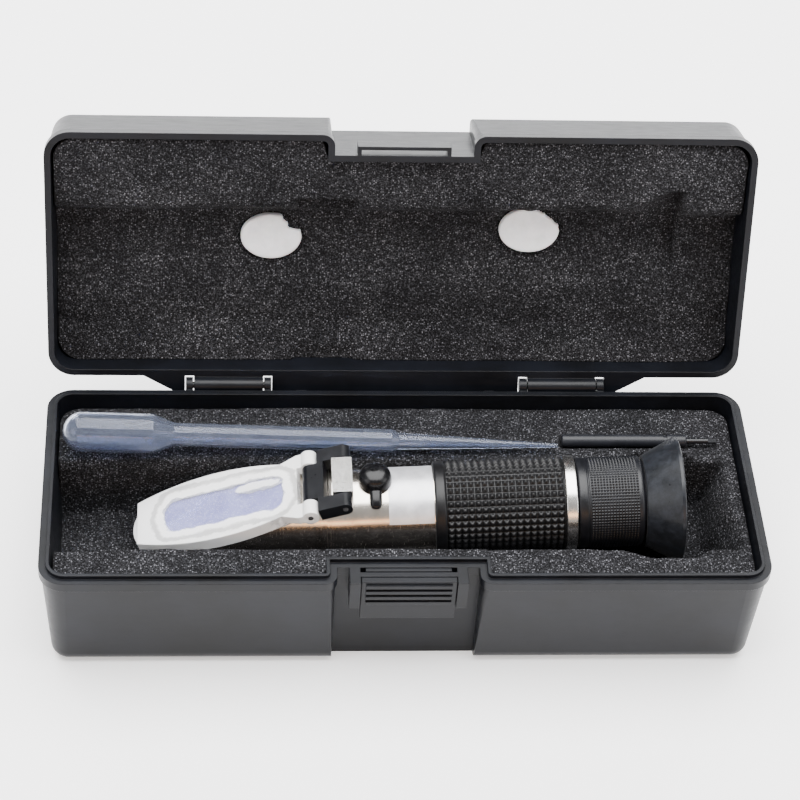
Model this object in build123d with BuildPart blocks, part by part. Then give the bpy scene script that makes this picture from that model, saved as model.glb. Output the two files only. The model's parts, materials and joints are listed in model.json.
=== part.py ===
from build123d import *
from math import asin, atan, cos, degrees, radians, sin
import os

# Antifreeze refractometer kit: a handheld refractometer, a transfer pipette and a small
# screwdriver in a foam lined plastic case that stands open.
# Millimetres. X runs along the case to the right, Y to its back, Z up.
# The origin is the middle of the face that the case stands on.

# Case sizes
case_length = 205.0
case_width = 76.5
base_height = 36.5
lid_height = 21.0
draft = 3.6
rim_corner = 7.5
bottom_round = 4.6
lid_round = 3.4
floor = 2.0
inner_round = 2.0
lip_proud = 0.5
lip_height = 3.0
ledge = 2.05
upstand = 1.0
upstand_height = 1.2
lid_rim = 1.9
rim_gap = 0.1

# Recess in the front walls, around the latch
recess_width = 39.8
recess_depth = 6.2
recess_corner = 3.6
recess_root = 1.2

# Lid hinges: axis, knuckles, ears, pins and the flange that stops the lid
lid_angle = 107.5
hinge_out = 2.75
hinge_drop = 0.5
hinge_offset = 49.6
knuckle_length = 20.4
knuckle_radius = 2.4
ear_thickness = 2.1
ear_root = 1.5
ear_rise = 7.0
pin_radius = 1.0
pin_fit = 0.01
running_gap = 0.05
side_gap = 0.3
flange_reach = 3.0
flange_root = 1.0
flange_thickness = 2.0
flange_top_half = 76.5
flange_end_half = 64.5
window_width = 10.4
window_depth = 0.5
stop_rib_offset = 28.0
stop_rib_width = 3.0
stop_rib_height = 8.0
stop_rib_drop = 2.0

# Latch: fixed frame on the base, sliding catch, loop on the lid
frame_width = 33.0
frame_arm = 3.0
frame_arm_height = 10.2
frame_front = 0.15
frame_bar_height = 8.2
frame_bar = 1.7
slide_gap = 0.25
tongue_width = 24.0
tongue = 1.2
catch_clear = 0.9
catch_web = 1.8
catch_plate = 1.9
catch_rib = 0.6
catch_rib_count = 4
catch_rib_pitch = 2.2
catch_rib_height = 1.2
catch_rib_margin = 1.0
catch_travel = 4.0
loop_width = 26.8
loop_wall = 1.1
loop_height = 4.5
loop_bridge = 1.0
loop_gap = 0.2

# Foam in the base, and foam in the lid with the valley that leaves room for the closed kit
foam_gap = 0.3
foam_top = 33.0
trough_gap = 0.6
trough_margin = 7.0
rest_gap = 0.5
pad_margin = 2.5
lid_band_drop = 1.4
lid_fold_drop = 3.4
lid_back_drop = 9.7
lid_back_rise = 13.0
lid_edge_drop = 5.4
plug_length = 18.0
plug_width = 14.3
plug_drop = 11.0
plug_places = ((-37.4, -1.9), (38.6, -4.5))

# Where the instrument lies in the case, and how far its eyepiece end is raised
tool_y = -3.0
tool_z = 28.8
tool_pitch = 3.4

# Instrument: stations along its axis from the middle, and radii
housing_start = -72.0
collar_start = -21.6
collar_end = -13.9
grip_start = 9.1
grip_band = 3.5
tube_end = 46.4
trim_length = 3.3
focus_gap = 0.3
focus_length = 19.1
housing_radius = 12.1
housing_edge = 0.8
housing_bore = 6.5
housing_bore_start = -47.0
spigot_radius = 11.2
spigot_length = 11.0
spigot_fit = 0.02
tube_radius = 12.5
tube_bore = 11.3
collar_radius = 12.8
collar_bead = 0.15
collar_bead_length = 0.7
collar_groove = 0.5
collar_groove_length = 0.4
grip_radius = 13.7
grip_band_radius = 13.4
grip_groove = 0.6
grip_rows = 17
grip_crown = 0.9
trim_radius = 13.9
trim_edge = 0.3
focus_radius = 13.1

# Daylight plate, its link and their two hinge axes, on a deck that slopes to the prism end
deck_slope = 15.5
plate_axis_x = -26.2
plate_axis_z = 11.2
deck_drop = 2.7
deck_end = -20.0
link_reach = 10.3
link_half = 2.0
link_yoke_start = 2.8
link_yoke = 1.8
small_pin_radius = 0.75
plate_length = 48.0
plate_start = 3.4
plate_left_half = 7.9
plate_mid_half = 12.75
plate_right_half = 8.5
plate_top = 1.4
plate_slab = 1.3
skirt_wall = 1.2
skirt_bottom = 2.4
neck_start = 10.0
neck_width = 9.5
neck_bottom = 1.3
boss_radius = 2.4
boss_length = 5.2
thumb_half = 6.0
thumb_reach = 2.0
thumb_thickness = 1.4
block_start = -19.8
block_length = 5.8
block_width = 13.5
block_top = 15.9

# Main prism in the housing, in its rubber seal
prism_length = 37.8
prism_width = 14.4
prism_corner = 3.0
prism_depth = 7.0
prism_end = 6.4
prism_drop = 0.2
seal_wall = 0.8
seal_top = 1.6
seal_gap = 0.05

# Calibration screw under its rubber cap, and the lens that it sets
screw_x = -7.6
screw_radius = 1.5
screw_length = 3.1
screw_bottom = 6.5
screw_slot = 0.5
screw_slot_depth = 0.8
bush_radius = 2.2
bush_bottom = 6.3
bush_drop = 0.4
cap_radius = 4.7
cap_top = 17.2
cap_dome = 1.6
cap_gap = 0.2
cap_plug_radius = 1.35
cap_plug_bottom = 9.8
cap_tail = 2.2
cap_tail_width = 3.6
cap_tail_angle = 52.0
carrier_start = -10.3
carrier_length = 12.5
carrier_bore = 5.05
carrier_step = 4.4
carrier_seat = 4.3
lens_radius = 5.0
lens_edge = 1.6
lens_bulge = 0.9
glass_gap = 0.02

# Scale and light path inside the tube
stop_x = 19.0
stop_thickness = 1.0
stop_bore = 4.0
strip_length = 15.0
strip_width = 4.0
strip_thickness = 0.5
strip_drop = 7.5
scale_x = 29.5
scale_seat = 1.5
scale_thickness = 1.5
scale_radius = 9.5
scale_bore = 8.2
scale_length = 4.5

# Eyepiece
sleeve_start = 40.0
sleeve_end = 62.0
sleeve_bore = 9.2
o_ring_x = 55.0
o_ring_radius = 0.65
o_ring_groove = 1.4
barrel_radius = 9.1
barrel_bore = 8.1
barrel_start = 53.0
barrel_length = 19.9
barrel_lip_bore = 7.2
barrel_lip = 2.5
barrel_flange_radius = 10.9
barrel_flange = 1.4
focus_wall = 2.5
neck_length = 4.0
neck_radius = 11.8
neck_bore = 10.4
clip_thickness = 0.9
clip_radius = 10.2
spacer_bore = 7.2
field_lens_edge = 2.0
eye_lens_edge = 2.4
eye_lens_x = 67.0
retainer_length = 2.0
retainer_bore = 6.8
cup_radius = 18.0
cup_root_radius = 12.9
cup_length = 10.6
cup_wall = 1.3
cup_lip = 1.0
cup_floor = 1.4
cup_floor_bore = 9.5
focus_travel = 2.4

# Pipette
pipette_margin = 5.0
pipette_y = 17.6
pipette_yaw = 0.2
bulb_radius = 5.8
bulb_length = 26.0
bulb_cone = 6.0
stem_radius = 3.4
stem_length = 63.0
stem_step = 2.0
stem_end_radius = 2.5
tip_length = 47.0
tip_radius = 0.6
pipette_wall = 0.7
tip_wall = 0.3

# Screwdriver
driver_margin = 8.5
driver_y = 20.4
driver_lift = 0.7
driver_radius = 1.9
driver_length = 37.0
driver_end = 7.0
driver_neck = 0.35
driver_neck_length = 1.2
driver_round = 0.5
blade_radius = 0.8
blade_length = 9.0
blade_set = 6.0
blade_tip = 2.5
blade_tip_half = 0.25

# Worked out from the sizes above
back = case_width / 2
hinge_y = back + hinge_out
hinge_z = base_height - hinge_drop
closed_rim = base_height + rim_gap
lid_top = base_height + lid_height
lid_depth = lid_top - closed_rim
inner_inset = ledge + upstand
recess_wall = recess_depth - back
ear_step = knuckle_length / 2 + side_gap + ear_thickness / 2
ear_places = [side * hinge_offset + end * ear_step for side in (-1, 1) for end in (-1, 1)]
deck_sin = sin(radians(deck_slope))
deck_cos = cos(radians(deck_slope))
link_axis_x = plate_axis_x + link_reach * deck_cos
link_axis_z = plate_axis_z + link_reach * deck_sin
link_inner = block_width / 2 + side_gap
boss_end = link_inner + boss_length
focus_start = tube_end + trim_length + focus_gap
focus_end = focus_start + focus_length
wall_start = focus_end - focus_wall
cup_start = focus_end + focus_gap
cup_end = cup_start + cup_length
flange_right = wall_start - focus_gap
field_lens_x = barrel_start + barrel_lip
eye_lens_end = eye_lens_x + eye_lens_edge
glass_radius = barrel_bore - running_gap
glass_seat = lens_bulge * (1 - (spacer_bore / glass_radius) ** 2) + glass_gap
carrier_lens_x = carrier_start + carrier_seat
objective_seat = lens_bulge * (1 - (carrier_step / lens_radius) ** 2) + glass_gap
trough_right = case_length / 2 - trough_margin
trough_half = cup_radius + trough_gap
tilt_cos = cos(radians(tool_pitch))
tilt_sin = sin(radians(tool_pitch))
trough_floor = tool_z + housing_start * tilt_sin - housing_radius * tilt_cos - rest_gap
pad_top = tool_z + cup_end * tilt_sin - cup_radius * tilt_cos - rest_gap
pad_start = cup_start - pad_margin
valley_top = tool_z + (cup_end + focus_travel) * tilt_sin + cup_radius * tilt_cos + rest_gap
catch_height = frame_bar_height + catch_travel + catch_clear + catch_web
driver_start = case_length / 2 - driver_margin - driver_length - blade_length
driver_z = foam_top + driver_lift
pipette_start = pipette_margin - case_length / 2
pipette_slope = (bulb_radius - stem_radius) / (bulb_cone + stem_length)
pipette_pitch = degrees(atan(pipette_slope))
bulb_rest = foam_top + foam_gap + bulb_radius + bulb_length * pipette_slope

# The lid is drawn closed and then stands open about its hinge axis.
# The instrument, the pipette and the screwdriver are drawn level along X and then laid in the case.
case_place = Pos(0, 0, 0)
lid_place = Pos(0, hinge_y, hinge_z) * Rot(-lid_angle, 0, 0) * Pos(0, -hinge_y, -hinge_z)
tool_place = Pos(0, tool_y, tool_z) * Rot(0, -tool_pitch, 0)
pipette_place = Pos(pipette_start, pipette_y, bulb_rest) * Rot(0, pipette_pitch, -pipette_yaw)
driver_place = Pos(driver_start, driver_y, driver_z)

# Deck of the daylight plate: X along the slope, Z square to it, origin on the plate's axis
deck_x = (deck_cos, 0, deck_sin)
deck = Plane(origin=(plate_axis_x, 0, plate_axis_z), x_dir=deck_x, z_dir=(-deck_sin, 0, deck_cos))
deck_side = Plane(origin=deck.origin, x_dir=deck_x, z_dir=(0, -1, 0))


def outline(inset):
    """Plan of the case at a distance inside its rim, with the recess at the front."""
    reach = recess_depth + inset
    half = recess_width / 2 + inset
    with BuildSketch(mode=Mode.PRIVATE) as plan:
        RectangleRounded(case_length - 2 * inset, case_width - 2 * inset, rim_corner - inset)
        with Locations((0, -back)):
            Rectangle(2 * half, 2 * reach, mode=Mode.SUBTRACT)
        near = plan.vertices().filter_by(lambda v: abs(v.X) < half + inset + lip_proud)
        fillet(near.filter_by(lambda v: v.Y < -back + inset + lip_proud), recess_corner - inset)
        fillet(near.filter_by(lambda v: v.Y > -back + inset + lip_proud), recess_root + inset)
    return plan.sketch


def tub(inset, depth, end_round, direction):
    """Tapered block on the case's plan, from the plane of its rim down (-1) or up (1)."""
    with BuildPart(mode=Mode.PRIVATE) as block:
        with BuildSketch():
            RectangleRounded(case_length - 2 * inset, case_width - 2 * inset, rim_corner - inset)
        extrude(amount=direction * depth, taper=draft)
        end_face = block.faces().sort_by(Axis.Z, reverse=direction > 0)[0]
        fillet(end_face.edges(), end_round)
        with BuildSketch():
            with Locations((0, -back)):
                Rectangle(recess_width + 2 * (inset + recess_corner), 2 * (recess_depth + inset))
            add(outline(inset), mode=Mode.SUBTRACT)
        extrude(amount=direction * depth, mode=Mode.SUBTRACT)
    return block.part


def span(start, end, inner, outer, mode=Mode.ADD):
    """Rectangle between two places along X and two radii, to be turned about X."""
    with Locations(((start + end) / 2, (inner + outer) / 2)):
        Rectangle(end - start, outer - inner, mode=mode)


def lens_profile(start, edge, radius, left_bulge, right_bulge):
    """Half section of a lens about X, each face a part of a sphere or flat."""
    with BuildLine(mode=Mode.PRIVATE) as half:
        if left_bulge > 0:
            ball = (radius**2 + left_bulge**2) / (2 * left_bulge)
            turn = degrees(asin(radius / ball))
            CenterArc((start - left_bulge + ball, 0), ball, 180 - turn, turn)
        else:
            Line((start, radius), (start, 0))
        Line((start - left_bulge, 0), (start + edge + right_bulge, 0))
        if right_bulge > 0:
            ball = (radius**2 + right_bulge**2) / (2 * right_bulge)
            turn = degrees(asin(radius / ball))
            CenterArc((start + edge + right_bulge - ball, 0), ball, 0, turn)
        else:
            Line((start + edge, 0), (start + edge, radius))
        Line((start + edge, radius), (start, radius))
    make_face(half.edges())


def above_deck():
    """Space above the sloping deck, where the prism end of the tube is cut away."""
    end = (deck_end - plate_axis_x - deck_drop * deck_sin) / deck_cos
    reach = tube_radius * 4
    with BuildPart(mode=Mode.PRIVATE) as space:
        with BuildSketch(deck_side):
            with BuildLine():
                Polyline(
                    (-plate_length - reach, -deck_drop),
                    (end, -deck_drop),
                    (end + reach * deck_sin, -deck_drop + reach * deck_cos),
                    (-plate_length - reach, reach),
                    close=True,
                )
            make_face()
        extrude(amount=reach, both=True)
    return space.part


def prism_outline(gap):
    """Plan of the main prism on the deck, grown by a gap."""
    with BuildSketch(mode=Mode.PRIVATE) as plan:
        with Locations((-prism_end - prism_length / 2, 0)):
            RectangleRounded(prism_length + 2 * gap, prism_width + 2 * gap, prism_corner + gap)
    return plan.sketch


def plate_outline(inset):
    """Plan of the daylight plate on the deck: two bowed sides between two bowed ends."""
    left = -plate_start - plate_length + inset
    right = -plate_start - inset
    middle = (left + right) / 2
    with BuildSketch(mode=Mode.PRIVATE) as plan:
        with BuildLine():
            upper = ThreePointArc(
                (left, plate_left_half - inset),
                (middle, plate_mid_half - inset),
                (right, plate_right_half - inset),
            )
            Line(upper @ 1, (right, inset - plate_right_half))
            lower = ThreePointArc(
                (right, inset - plate_right_half),
                (middle, inset - plate_mid_half),
                (left, inset - plate_left_half),
            )
            Line(lower @ 1, upper @ 0)
        make_face()
    return plan.sketch


# Case base: tapered tub with a lip, a raised edge inside its rim, hinge ears and stop ribs at
# the back, and the fixed frame of the latch in the recess at the front
stop_turn = radians(lid_angle)
stop_face = hinge_y + flange_reach * cos(stop_turn) + (closed_rim - hinge_z) * sin(stop_turn)
with BuildPart() as base_shell:
    with Locations((0, 0, base_height)):
        add(tub(lip_proud, base_height, bottom_round, -1))
    with BuildSketch(Plane.XY.offset(base_height)):
        add(outline(0))
    extrude(amount=-lip_height)
    with Locations((0, 0, base_height)):
        add(tub(inner_inset, base_height - floor, inner_round, -1), mode=Mode.SUBTRACT)
    with BuildSketch(Plane.XY.offset(base_height)):
        add(outline(ledge))
        add(outline(inner_inset), mode=Mode.SUBTRACT)
    extrude(amount=upstand_height)
    for place in ear_places:
        with BuildSketch(Plane.YZ.offset(place - ear_thickness / 2)):
            with BuildLine():
                Polyline(
                    (back - ear_root, hinge_z - pin_radius),
                    (hinge_y, hinge_z + knuckle_radius),
                    (hinge_y, hinge_z - knuckle_radius),
                    (back - ear_root, hinge_z - ear_rise),
                    close=True,
                )
            make_face()
            with Locations((hinge_y, hinge_z)):
                Circle(knuckle_radius)
                Circle(pin_radius + pin_fit, mode=Mode.SUBTRACT)
        extrude(amount=ear_thickness)
    rib_root = back - ear_root
    rib_end = stop_face - running_gap
    with BuildSketch(Plane.XY.offset(base_height - stop_rib_drop)):
        with GridLocations(2 * stop_rib_offset, 0, 2, 1):
            with Locations((0, (rib_root + rib_end) / 2)):
                Rectangle(stop_rib_width, rib_end - rib_root)
    extrude(amount=-stop_rib_height)
    arm_inside = frame_width / 2 - frame_arm
    arm_front = frame_front - back
    arm_root = recess_wall + ledge
    bar_back = recess_wall - slide_gap - tongue - slide_gap
    with BuildSketch(Plane.XY.offset(base_height)):
        for side in (-1, 1):
            with Locations((side * (frame_width - frame_arm) / 2, (arm_front + arm_root) / 2)):
                Rectangle(frame_arm, arm_root - arm_front)
    extrude(amount=-frame_arm_height)
    with BuildSketch(Plane.XY.offset(base_height)):
        with Locations((0, bar_back - frame_bar / 2)):
            Rectangle(2 * arm_inside, frame_bar)
    extrude(amount=-frame_bar_height)
base_shell.part.label = "base_shell"

# Two hinge pins, pressed through the ears
with BuildPart() as hinge_pins:
    for side in (-1, 1):
        pin_length = 2 * (ear_step + ear_thickness / 2)
        with BuildSketch(Plane.YZ.offset(side * hinge_offset - pin_length / 2)):
            with Locations((hinge_y, hinge_z)):
                Circle(pin_radius)
        extrude(amount=pin_length)
hinge_pins.part.label = "hinge_pins"

# Sliding catch: a plate with finger ribs before the bar of the frame, a tongue behind it and a
# web below that joins them and stops it
plate_back = bar_back - frame_bar - slide_gap
catch_bottom = base_height - catch_height
with BuildPart() as latch_slider:
    with BuildSketch(Plane.XY.offset(base_height)):
        with Locations((0, plate_back - catch_plate / 2)):
            Rectangle(2 * (arm_inside - slide_gap), catch_plate)
        with Locations((0, bar_back + slide_gap + tongue / 2)):
            Rectangle(tongue_width, tongue)
    extrude(amount=-catch_height)
    with BuildSketch(Plane.XY.offset(catch_bottom)):
        web_back = bar_back + slide_gap + tongue
        with Locations((0, (plate_back - catch_plate + web_back) / 2)):
            Rectangle(tongue_width, web_back - plate_back + catch_plate)
    extrude(amount=catch_web)
    for row in range(catch_rib_count):
        rib_top = base_height - catch_rib_margin - row * catch_rib_pitch
        with BuildSketch(Plane.XY.offset(rib_top)):
            with Locations((0, plate_back - catch_plate - catch_rib / 2)):
                Rectangle(tongue_width, catch_rib)
        extrude(amount=-catch_rib_height)
latch_slider.part.label = "latch_slider"

# Case lid, drawn closed: tapered tub with a lip, hinge knuckles on a flange and the latch loop
with BuildPart() as lid_shell:
    with Locations((0, 0, closed_rim)):
        add(tub(lip_proud, lid_depth, lid_round, 1))
    with BuildSketch(Plane.XY.offset(closed_rim)):
        add(outline(0))
    extrude(amount=lip_height)
    with Locations((0, 0, closed_rim)):
        add(tub(lid_rim, lid_depth - floor, inner_round, 1), mode=Mode.SUBTRACT)
    with BuildSketch(Plane.XY.offset(closed_rim)):
        with BuildLine():
            Polyline(
                (-flange_top_half, back - flange_root),
                (flange_top_half, back - flange_root),
                (flange_end_half, hinge_y + flange_reach),
                (-flange_end_half, hinge_y + flange_reach),
                close=True,
            )
        make_face()
        for place in ear_places:
            with Locations((place, back + flange_thickness + flange_reach)):
                Rectangle(
                    ear_thickness + 2 * side_gap,
                    2 * (flange_thickness + flange_reach),
                    mode=Mode.SUBTRACT,
                )
    extrude(amount=flange_thickness)
    for side in (-1, 1):
        with BuildSketch(Plane.YZ.offset(side * hinge_offset - knuckle_length / 2)):
            with Locations((hinge_y, hinge_z)):
                Circle(knuckle_radius)
        extrude(amount=knuckle_length)
        with BuildSketch(Plane.YZ.offset(side * hinge_offset - knuckle_length / 2)):
            with Locations((hinge_y, hinge_z)):
                Circle(pin_radius + running_gap)
        extrude(amount=knuckle_length, mode=Mode.SUBTRACT)
        with BuildSketch(Plane.XY.offset(closed_rim)):
            with Locations((side * hinge_offset, hinge_y + flange_reach)):
                Rectangle(window_width, 2 * window_depth)
        extrude(amount=flange_thickness, mode=Mode.SUBTRACT)
    slot_back = recess_wall
    slot_front = recess_wall - 2 * slide_gap - tongue
    loop_root = recess_wall + lip_proud
    with BuildSketch(Plane.XY.offset(base_height + loop_gap)):
        with Locations((0, (slot_front - loop_bridge + loop_root) / 2)):
            Rectangle(loop_width, loop_root - slot_front + loop_bridge)
        with Locations((0, (slot_back + slot_front) / 2)):
            Rectangle(loop_width - 2 * loop_wall, slot_back - slot_front, mode=Mode.SUBTRACT)
    extrude(amount=loop_height)
lid_shell.part.label = "lid_shell"

# Foam in the base: the trough is open at the left end, a pad on its floor carries the eyecup,
# and a groove in the back strip holds the screwdriver
trough_left = -case_length / 2
with BuildPart() as base_foam:
    with Locations((0, 0, base_height)):
        add(tub(inner_inset + foam_gap, base_height - floor - foam_gap, inner_round, -1))
    with BuildSketch(Plane.XY.offset(foam_top)):
        Rectangle(2 * case_length, 2 * case_width)
    extrude(amount=base_height, mode=Mode.SUBTRACT)
    for start, end, level in ((trough_left, pad_start, trough_floor), (pad_start, trough_right, pad_top)):
        with BuildSketch(Plane.XY.offset(level)):
            with Locations(((start + end) / 2, tool_y)):
                Rectangle(end - start, 2 * trough_half)
        extrude(amount=base_height, mode=Mode.SUBTRACT)
    with BuildSketch(Plane.YZ.offset(driver_start - foam_gap)):
        with Locations((driver_y, driver_z)):
            Circle(driver_radius + foam_gap)
    extrude(amount=driver_length + blade_length + 2 * foam_gap, mode=Mode.SUBTRACT)
base_foam.part.label = "base_foam"

# Foam in the lid, drawn closed: near the rim at the front, a valley over the instrument, and a
# strip over the pipette that comes back to the rim
with BuildPart() as lid_foam:
    with Locations((0, 0, closed_rim)):
        add(tub(lid_rim + foam_gap, lid_depth - floor - foam_gap, inner_round, 1))
    with BuildSketch(Plane.YZ.offset(-case_length)):
        with BuildLine():
            Polyline(
                (-case_width, closed_rim - lid_height),
                (-case_width, closed_rim + lid_band_drop),
                (-back, closed_rim + lid_band_drop),
                (tool_y - trough_half, closed_rim + lid_fold_drop),
                (tool_y - trough_half, valley_top),
                (tool_y + trough_half, valley_top),
                (tool_y + trough_half, closed_rim + lid_back_drop),
                (back - lid_back_rise, closed_rim + lid_back_drop),
                (back, closed_rim + lid_edge_drop),
                (case_width, closed_rim + lid_edge_drop),
                (case_width, closed_rim - lid_height),
                close=True,
            )
        make_face()
    extrude(amount=2 * case_length, mode=Mode.SUBTRACT)
    with BuildSketch(Plane.XY.offset(closed_rim)):
        with Locations(*plug_places):
            Ellipse(plug_length / 2 + foam_gap, plug_width / 2 + foam_gap)
    extrude(amount=lid_depth, mode=Mode.SUBTRACT)
lid_foam.part.label = "lid_foam"

# Two white plugs that show through oval holes in the lid's foam
with BuildPart() as lid_plugs:
    with BuildSketch(Plane.XY.offset(closed_rim + plug_drop)):
        with Locations(*plug_places):
            Ellipse(plug_length / 2, plug_width / 2)
    extrude(amount=lid_depth - floor - plug_drop)
lid_plugs.part.label = "lid_plugs"

# Prism end of the instrument: a bar cut away above its sloping deck, a pocket for the prism in
# its seal, a bore for the light and a spigot that fits in the collar and the tube
with BuildPart() as prism_housing:
    with BuildSketch(Plane.XZ):
        span(housing_start, collar_start, 0, housing_radius)
    revolve(axis=Axis.X)
    fillet(prism_housing.faces().sort_by(Axis.X)[0].edges(), housing_edge)
    with BuildSketch(Plane.XZ):
        span(collar_start, collar_start + spigot_length, 0, spigot_radius)
    revolve(axis=Axis.X)
    with BuildSketch(Plane.XZ):
        span(housing_bore_start, collar_start + spigot_length, 0, housing_bore)
    revolve(axis=Axis.X, mode=Mode.SUBTRACT)
    add(above_deck(), mode=Mode.SUBTRACT)
    with BuildSketch(deck):
        add(prism_outline(seal_wall + 2 * seal_gap))
    extrude(amount=-prism_depth - prism_drop - seal_gap, mode=Mode.SUBTRACT)
prism_housing.part.label = "prism_housing"

# Glass prism that the sample is wetted onto
with BuildPart() as main_prism:
    with BuildSketch(deck.offset(-prism_drop)):
        add(prism_outline(0))
    extrude(amount=-prism_depth)
main_prism.part.label = "main_prism"

# Rubber seal round the prism
with BuildPart() as prism_seal:
    with BuildSketch(deck.offset(-seal_top)):
        add(prism_outline(seal_gap + seal_wall))
        add(prism_outline(seal_gap), mode=Mode.SUBTRACT)
    extrude(amount=seal_top - prism_depth)
prism_seal.part.label = "prism_seal"

# Collar with two beads, cut by the deck at its front
bead_end = collar_start + collar_bead_length + collar_groove_length
with BuildPart() as tube_collar:
    with BuildSketch(Plane.XZ):
        span(collar_start, collar_end, spigot_radius + spigot_fit, collar_radius)
        bead_bottom = collar_radius - collar_groove
        span(collar_start, bead_end + collar_groove_length, bead_bottom, collar_radius + collar_bead)
        span(
            collar_start + collar_bead_length,
            bead_end,
            bead_bottom,
            collar_radius + 2 * collar_bead,
            mode=Mode.SUBTRACT,
        )
    revolve(axis=Axis.X)
    add(above_deck(), mode=Mode.SUBTRACT)
tube_collar.part.label = "tube_collar"

# Steel tube of the body, with the hole over the calibration screw
with BuildPart() as main_tube:
    with BuildSketch(Plane.XZ):
        span(collar_end, tube_end, tube_bore, tube_radius)
    revolve(axis=Axis.X)
    with BuildSketch(Plane.XY):
        with Locations((screw_x, 0)):
            Circle(screw_radius + running_gap)
    extrude(amount=cap_top, mode=Mode.SUBTRACT)
main_tube.part.label = "main_tube"

# Hinge block on the collar, and the pin of the link through it
with BuildPart() as hinge_block:
    with BuildSketch(Plane.XY):
        with Locations((block_start + block_length / 2, 0)):
            Rectangle(block_length, block_width)
    extrude(amount=block_top)
    with BuildSketch(Plane.XZ):
        span(2 * block_start, -block_start, 0, collar_radius)
    revolve(axis=Axis.X, mode=Mode.SUBTRACT)
    with BuildSketch(Plane.XZ):
        with Locations((link_axis_x, link_axis_z)):
            Circle(small_pin_radius + pin_fit)
    extrude(amount=block_width, both=True, mode=Mode.SUBTRACT)
hinge_block.part.label = "hinge_block"

with BuildPart() as link_pin:
    with BuildSketch(Plane.XZ):
        with Locations((link_axis_x, link_axis_z)):
            Circle(small_pin_radius)
    extrude(amount=boss_end - side_gap - pin_fit, both=True)
link_pin.part.label = "link_pin"

# Link between the plate and the block: web at the plate's end, yoke across, two arms
with BuildPart() as plate_link:
    with BuildSketch(deck_side):
        with Locations((link_reach / 2, 0)):
            SlotCenterToCenter(link_reach, 2 * link_half)
    extrude(amount=boss_end, both=True)
    arm_start = link_yoke_start + link_yoke
    arm_end = link_reach + link_half
    arm_outer = boss_end - side_gap - pin_fit
    with BuildSketch(deck):
        with Locations(((link_yoke_start - link_half) / 2, 0)):
            Rectangle(link_yoke_start + link_half, block_width)
        with Locations((link_yoke_start + link_yoke / 2, 0)):
            Rectangle(link_yoke, 2 * arm_outer)
        for side in (-1, 1):
            with Locations(((arm_start + arm_end) / 2, side * (link_inner + arm_outer) / 2)):
                Rectangle(arm_end - arm_start, arm_outer - link_inner)
    extrude(amount=2 * link_half, both=True, mode=Mode.INTERSECT)
    with BuildSketch(deck_side):
        Circle(small_pin_radius + pin_fit)
        with Locations((link_reach, 0)):
            Circle(small_pin_radius + running_gap)
    extrude(amount=2 * boss_end, both=True, mode=Mode.SUBTRACT)
plate_link.part.label = "plate_link"

# Pin of the plate, pressed through the link
with BuildPart() as plate_pin:
    with BuildSketch(deck_side):
        Circle(small_pin_radius)
    extrude(amount=boss_end, both=True)
plate_pin.part.label = "plate_pin"

# Daylight plate: clear slab with a skirt round it, two hinge bosses on necks and a thumb tab
with BuildPart() as daylight_plate:
    with BuildSketch(deck.offset(plate_top)):
        add(plate_outline(0))
    extrude(amount=-plate_top - skirt_bottom)
    with BuildSketch(deck.offset(plate_top - plate_slab)):
        add(plate_outline(skirt_wall))
    extrude(amount=-plate_top - skirt_bottom, mode=Mode.SUBTRACT)
    with BuildSketch(deck.offset(plate_top)):
        for side in (-1, 1):
            with BuildLine():
                Polyline(
                    (-neck_start, side * neck_width),
                    (-plate_start, side * boss_end),
                    (0, side * boss_end),
                    (0, side * link_inner),
                    (-plate_start, side * link_inner),
                    (-neck_start, side * (prism_width / 2 + side_gap)),
                    close=True,
                )
            make_face()
    extrude(amount=-plate_top - neck_bottom)
    for side in (-1, 1):
        with BuildSketch(deck_side.offset(side * link_inner)):
            Circle(boss_radius)
        extrude(amount=side * boss_length)
    with BuildSketch(deck_side):
        Circle(small_pin_radius + running_gap)
    extrude(amount=2 * boss_end, both=True, mode=Mode.SUBTRACT)
    with BuildSketch(deck.offset(-skirt_bottom)):
        with Locations((-plate_start - plate_length + skirt_wall / 2, 0)):
            Ellipse(thumb_reach + skirt_wall / 2, thumb_half)
        with Locations((-plate_start - plate_length + skirt_wall + thumb_half, 0)):
            Rectangle(2 * thumb_half, 2 * thumb_half, mode=Mode.SUBTRACT)
    extrude(amount=thumb_thickness)
daylight_plate.part.label = "daylight_plate"

# Rubber grip: a smooth band at each side of its rows
row_length = (tube_end - grip_start - grip_band - grip_crown) / grip_rows
with BuildPart() as rubber_grip:
    with BuildSketch(Plane.XZ):
        with BuildLine():
            points = [(grip_start, tube_radius), (grip_start, grip_band_radius)]
            for row in range(grip_rows):
                left = grip_start + grip_band + row * row_length
                points += [(left, grip_radius - grip_groove), (left + row_length / 2, grip_radius)]
            right = grip_start + grip_band + grip_rows * row_length
            points += [(right, grip_radius - grip_groove), (tube_end, grip_band_radius)]
            points += [(tube_end, tube_radius)]
            Polyline(*points, close=True)
        make_face()
    revolve(axis=Axis.X)
rubber_grip.part.label = "rubber_grip"

# Bright ring at the end of the tube
with BuildPart() as trim_ring:
    with BuildSketch(Plane.XZ):
        span(tube_end, tube_end + trim_length, spigot_radius + running_gap, trim_radius)
    revolve(axis=Axis.X)
    fillet(trim_ring.edges().filter_by(GeomType.CIRCLE).sort_by(SortBy.RADIUS)[-2:], trim_edge)
trim_ring.part.label = "trim_ring"

# Calibration: the carrier of the objective lens, a bush in its side, the screw and the cap
with BuildPart() as lens_carrier:
    with BuildSketch(Plane.XZ):
        span(carrier_start, carrier_start + carrier_length, carrier_bore, spigot_radius)
        span(carrier_start, carrier_start + carrier_seat, carrier_step, carrier_bore)
    revolve(axis=Axis.X)
    with BuildSketch(Plane.XY.offset(bush_bottom)):
        with Locations((screw_x, 0)):
            Circle(bush_radius + pin_fit)
    extrude(amount=spigot_radius, mode=Mode.SUBTRACT)
lens_carrier.part.label = "lens_carrier"

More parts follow.
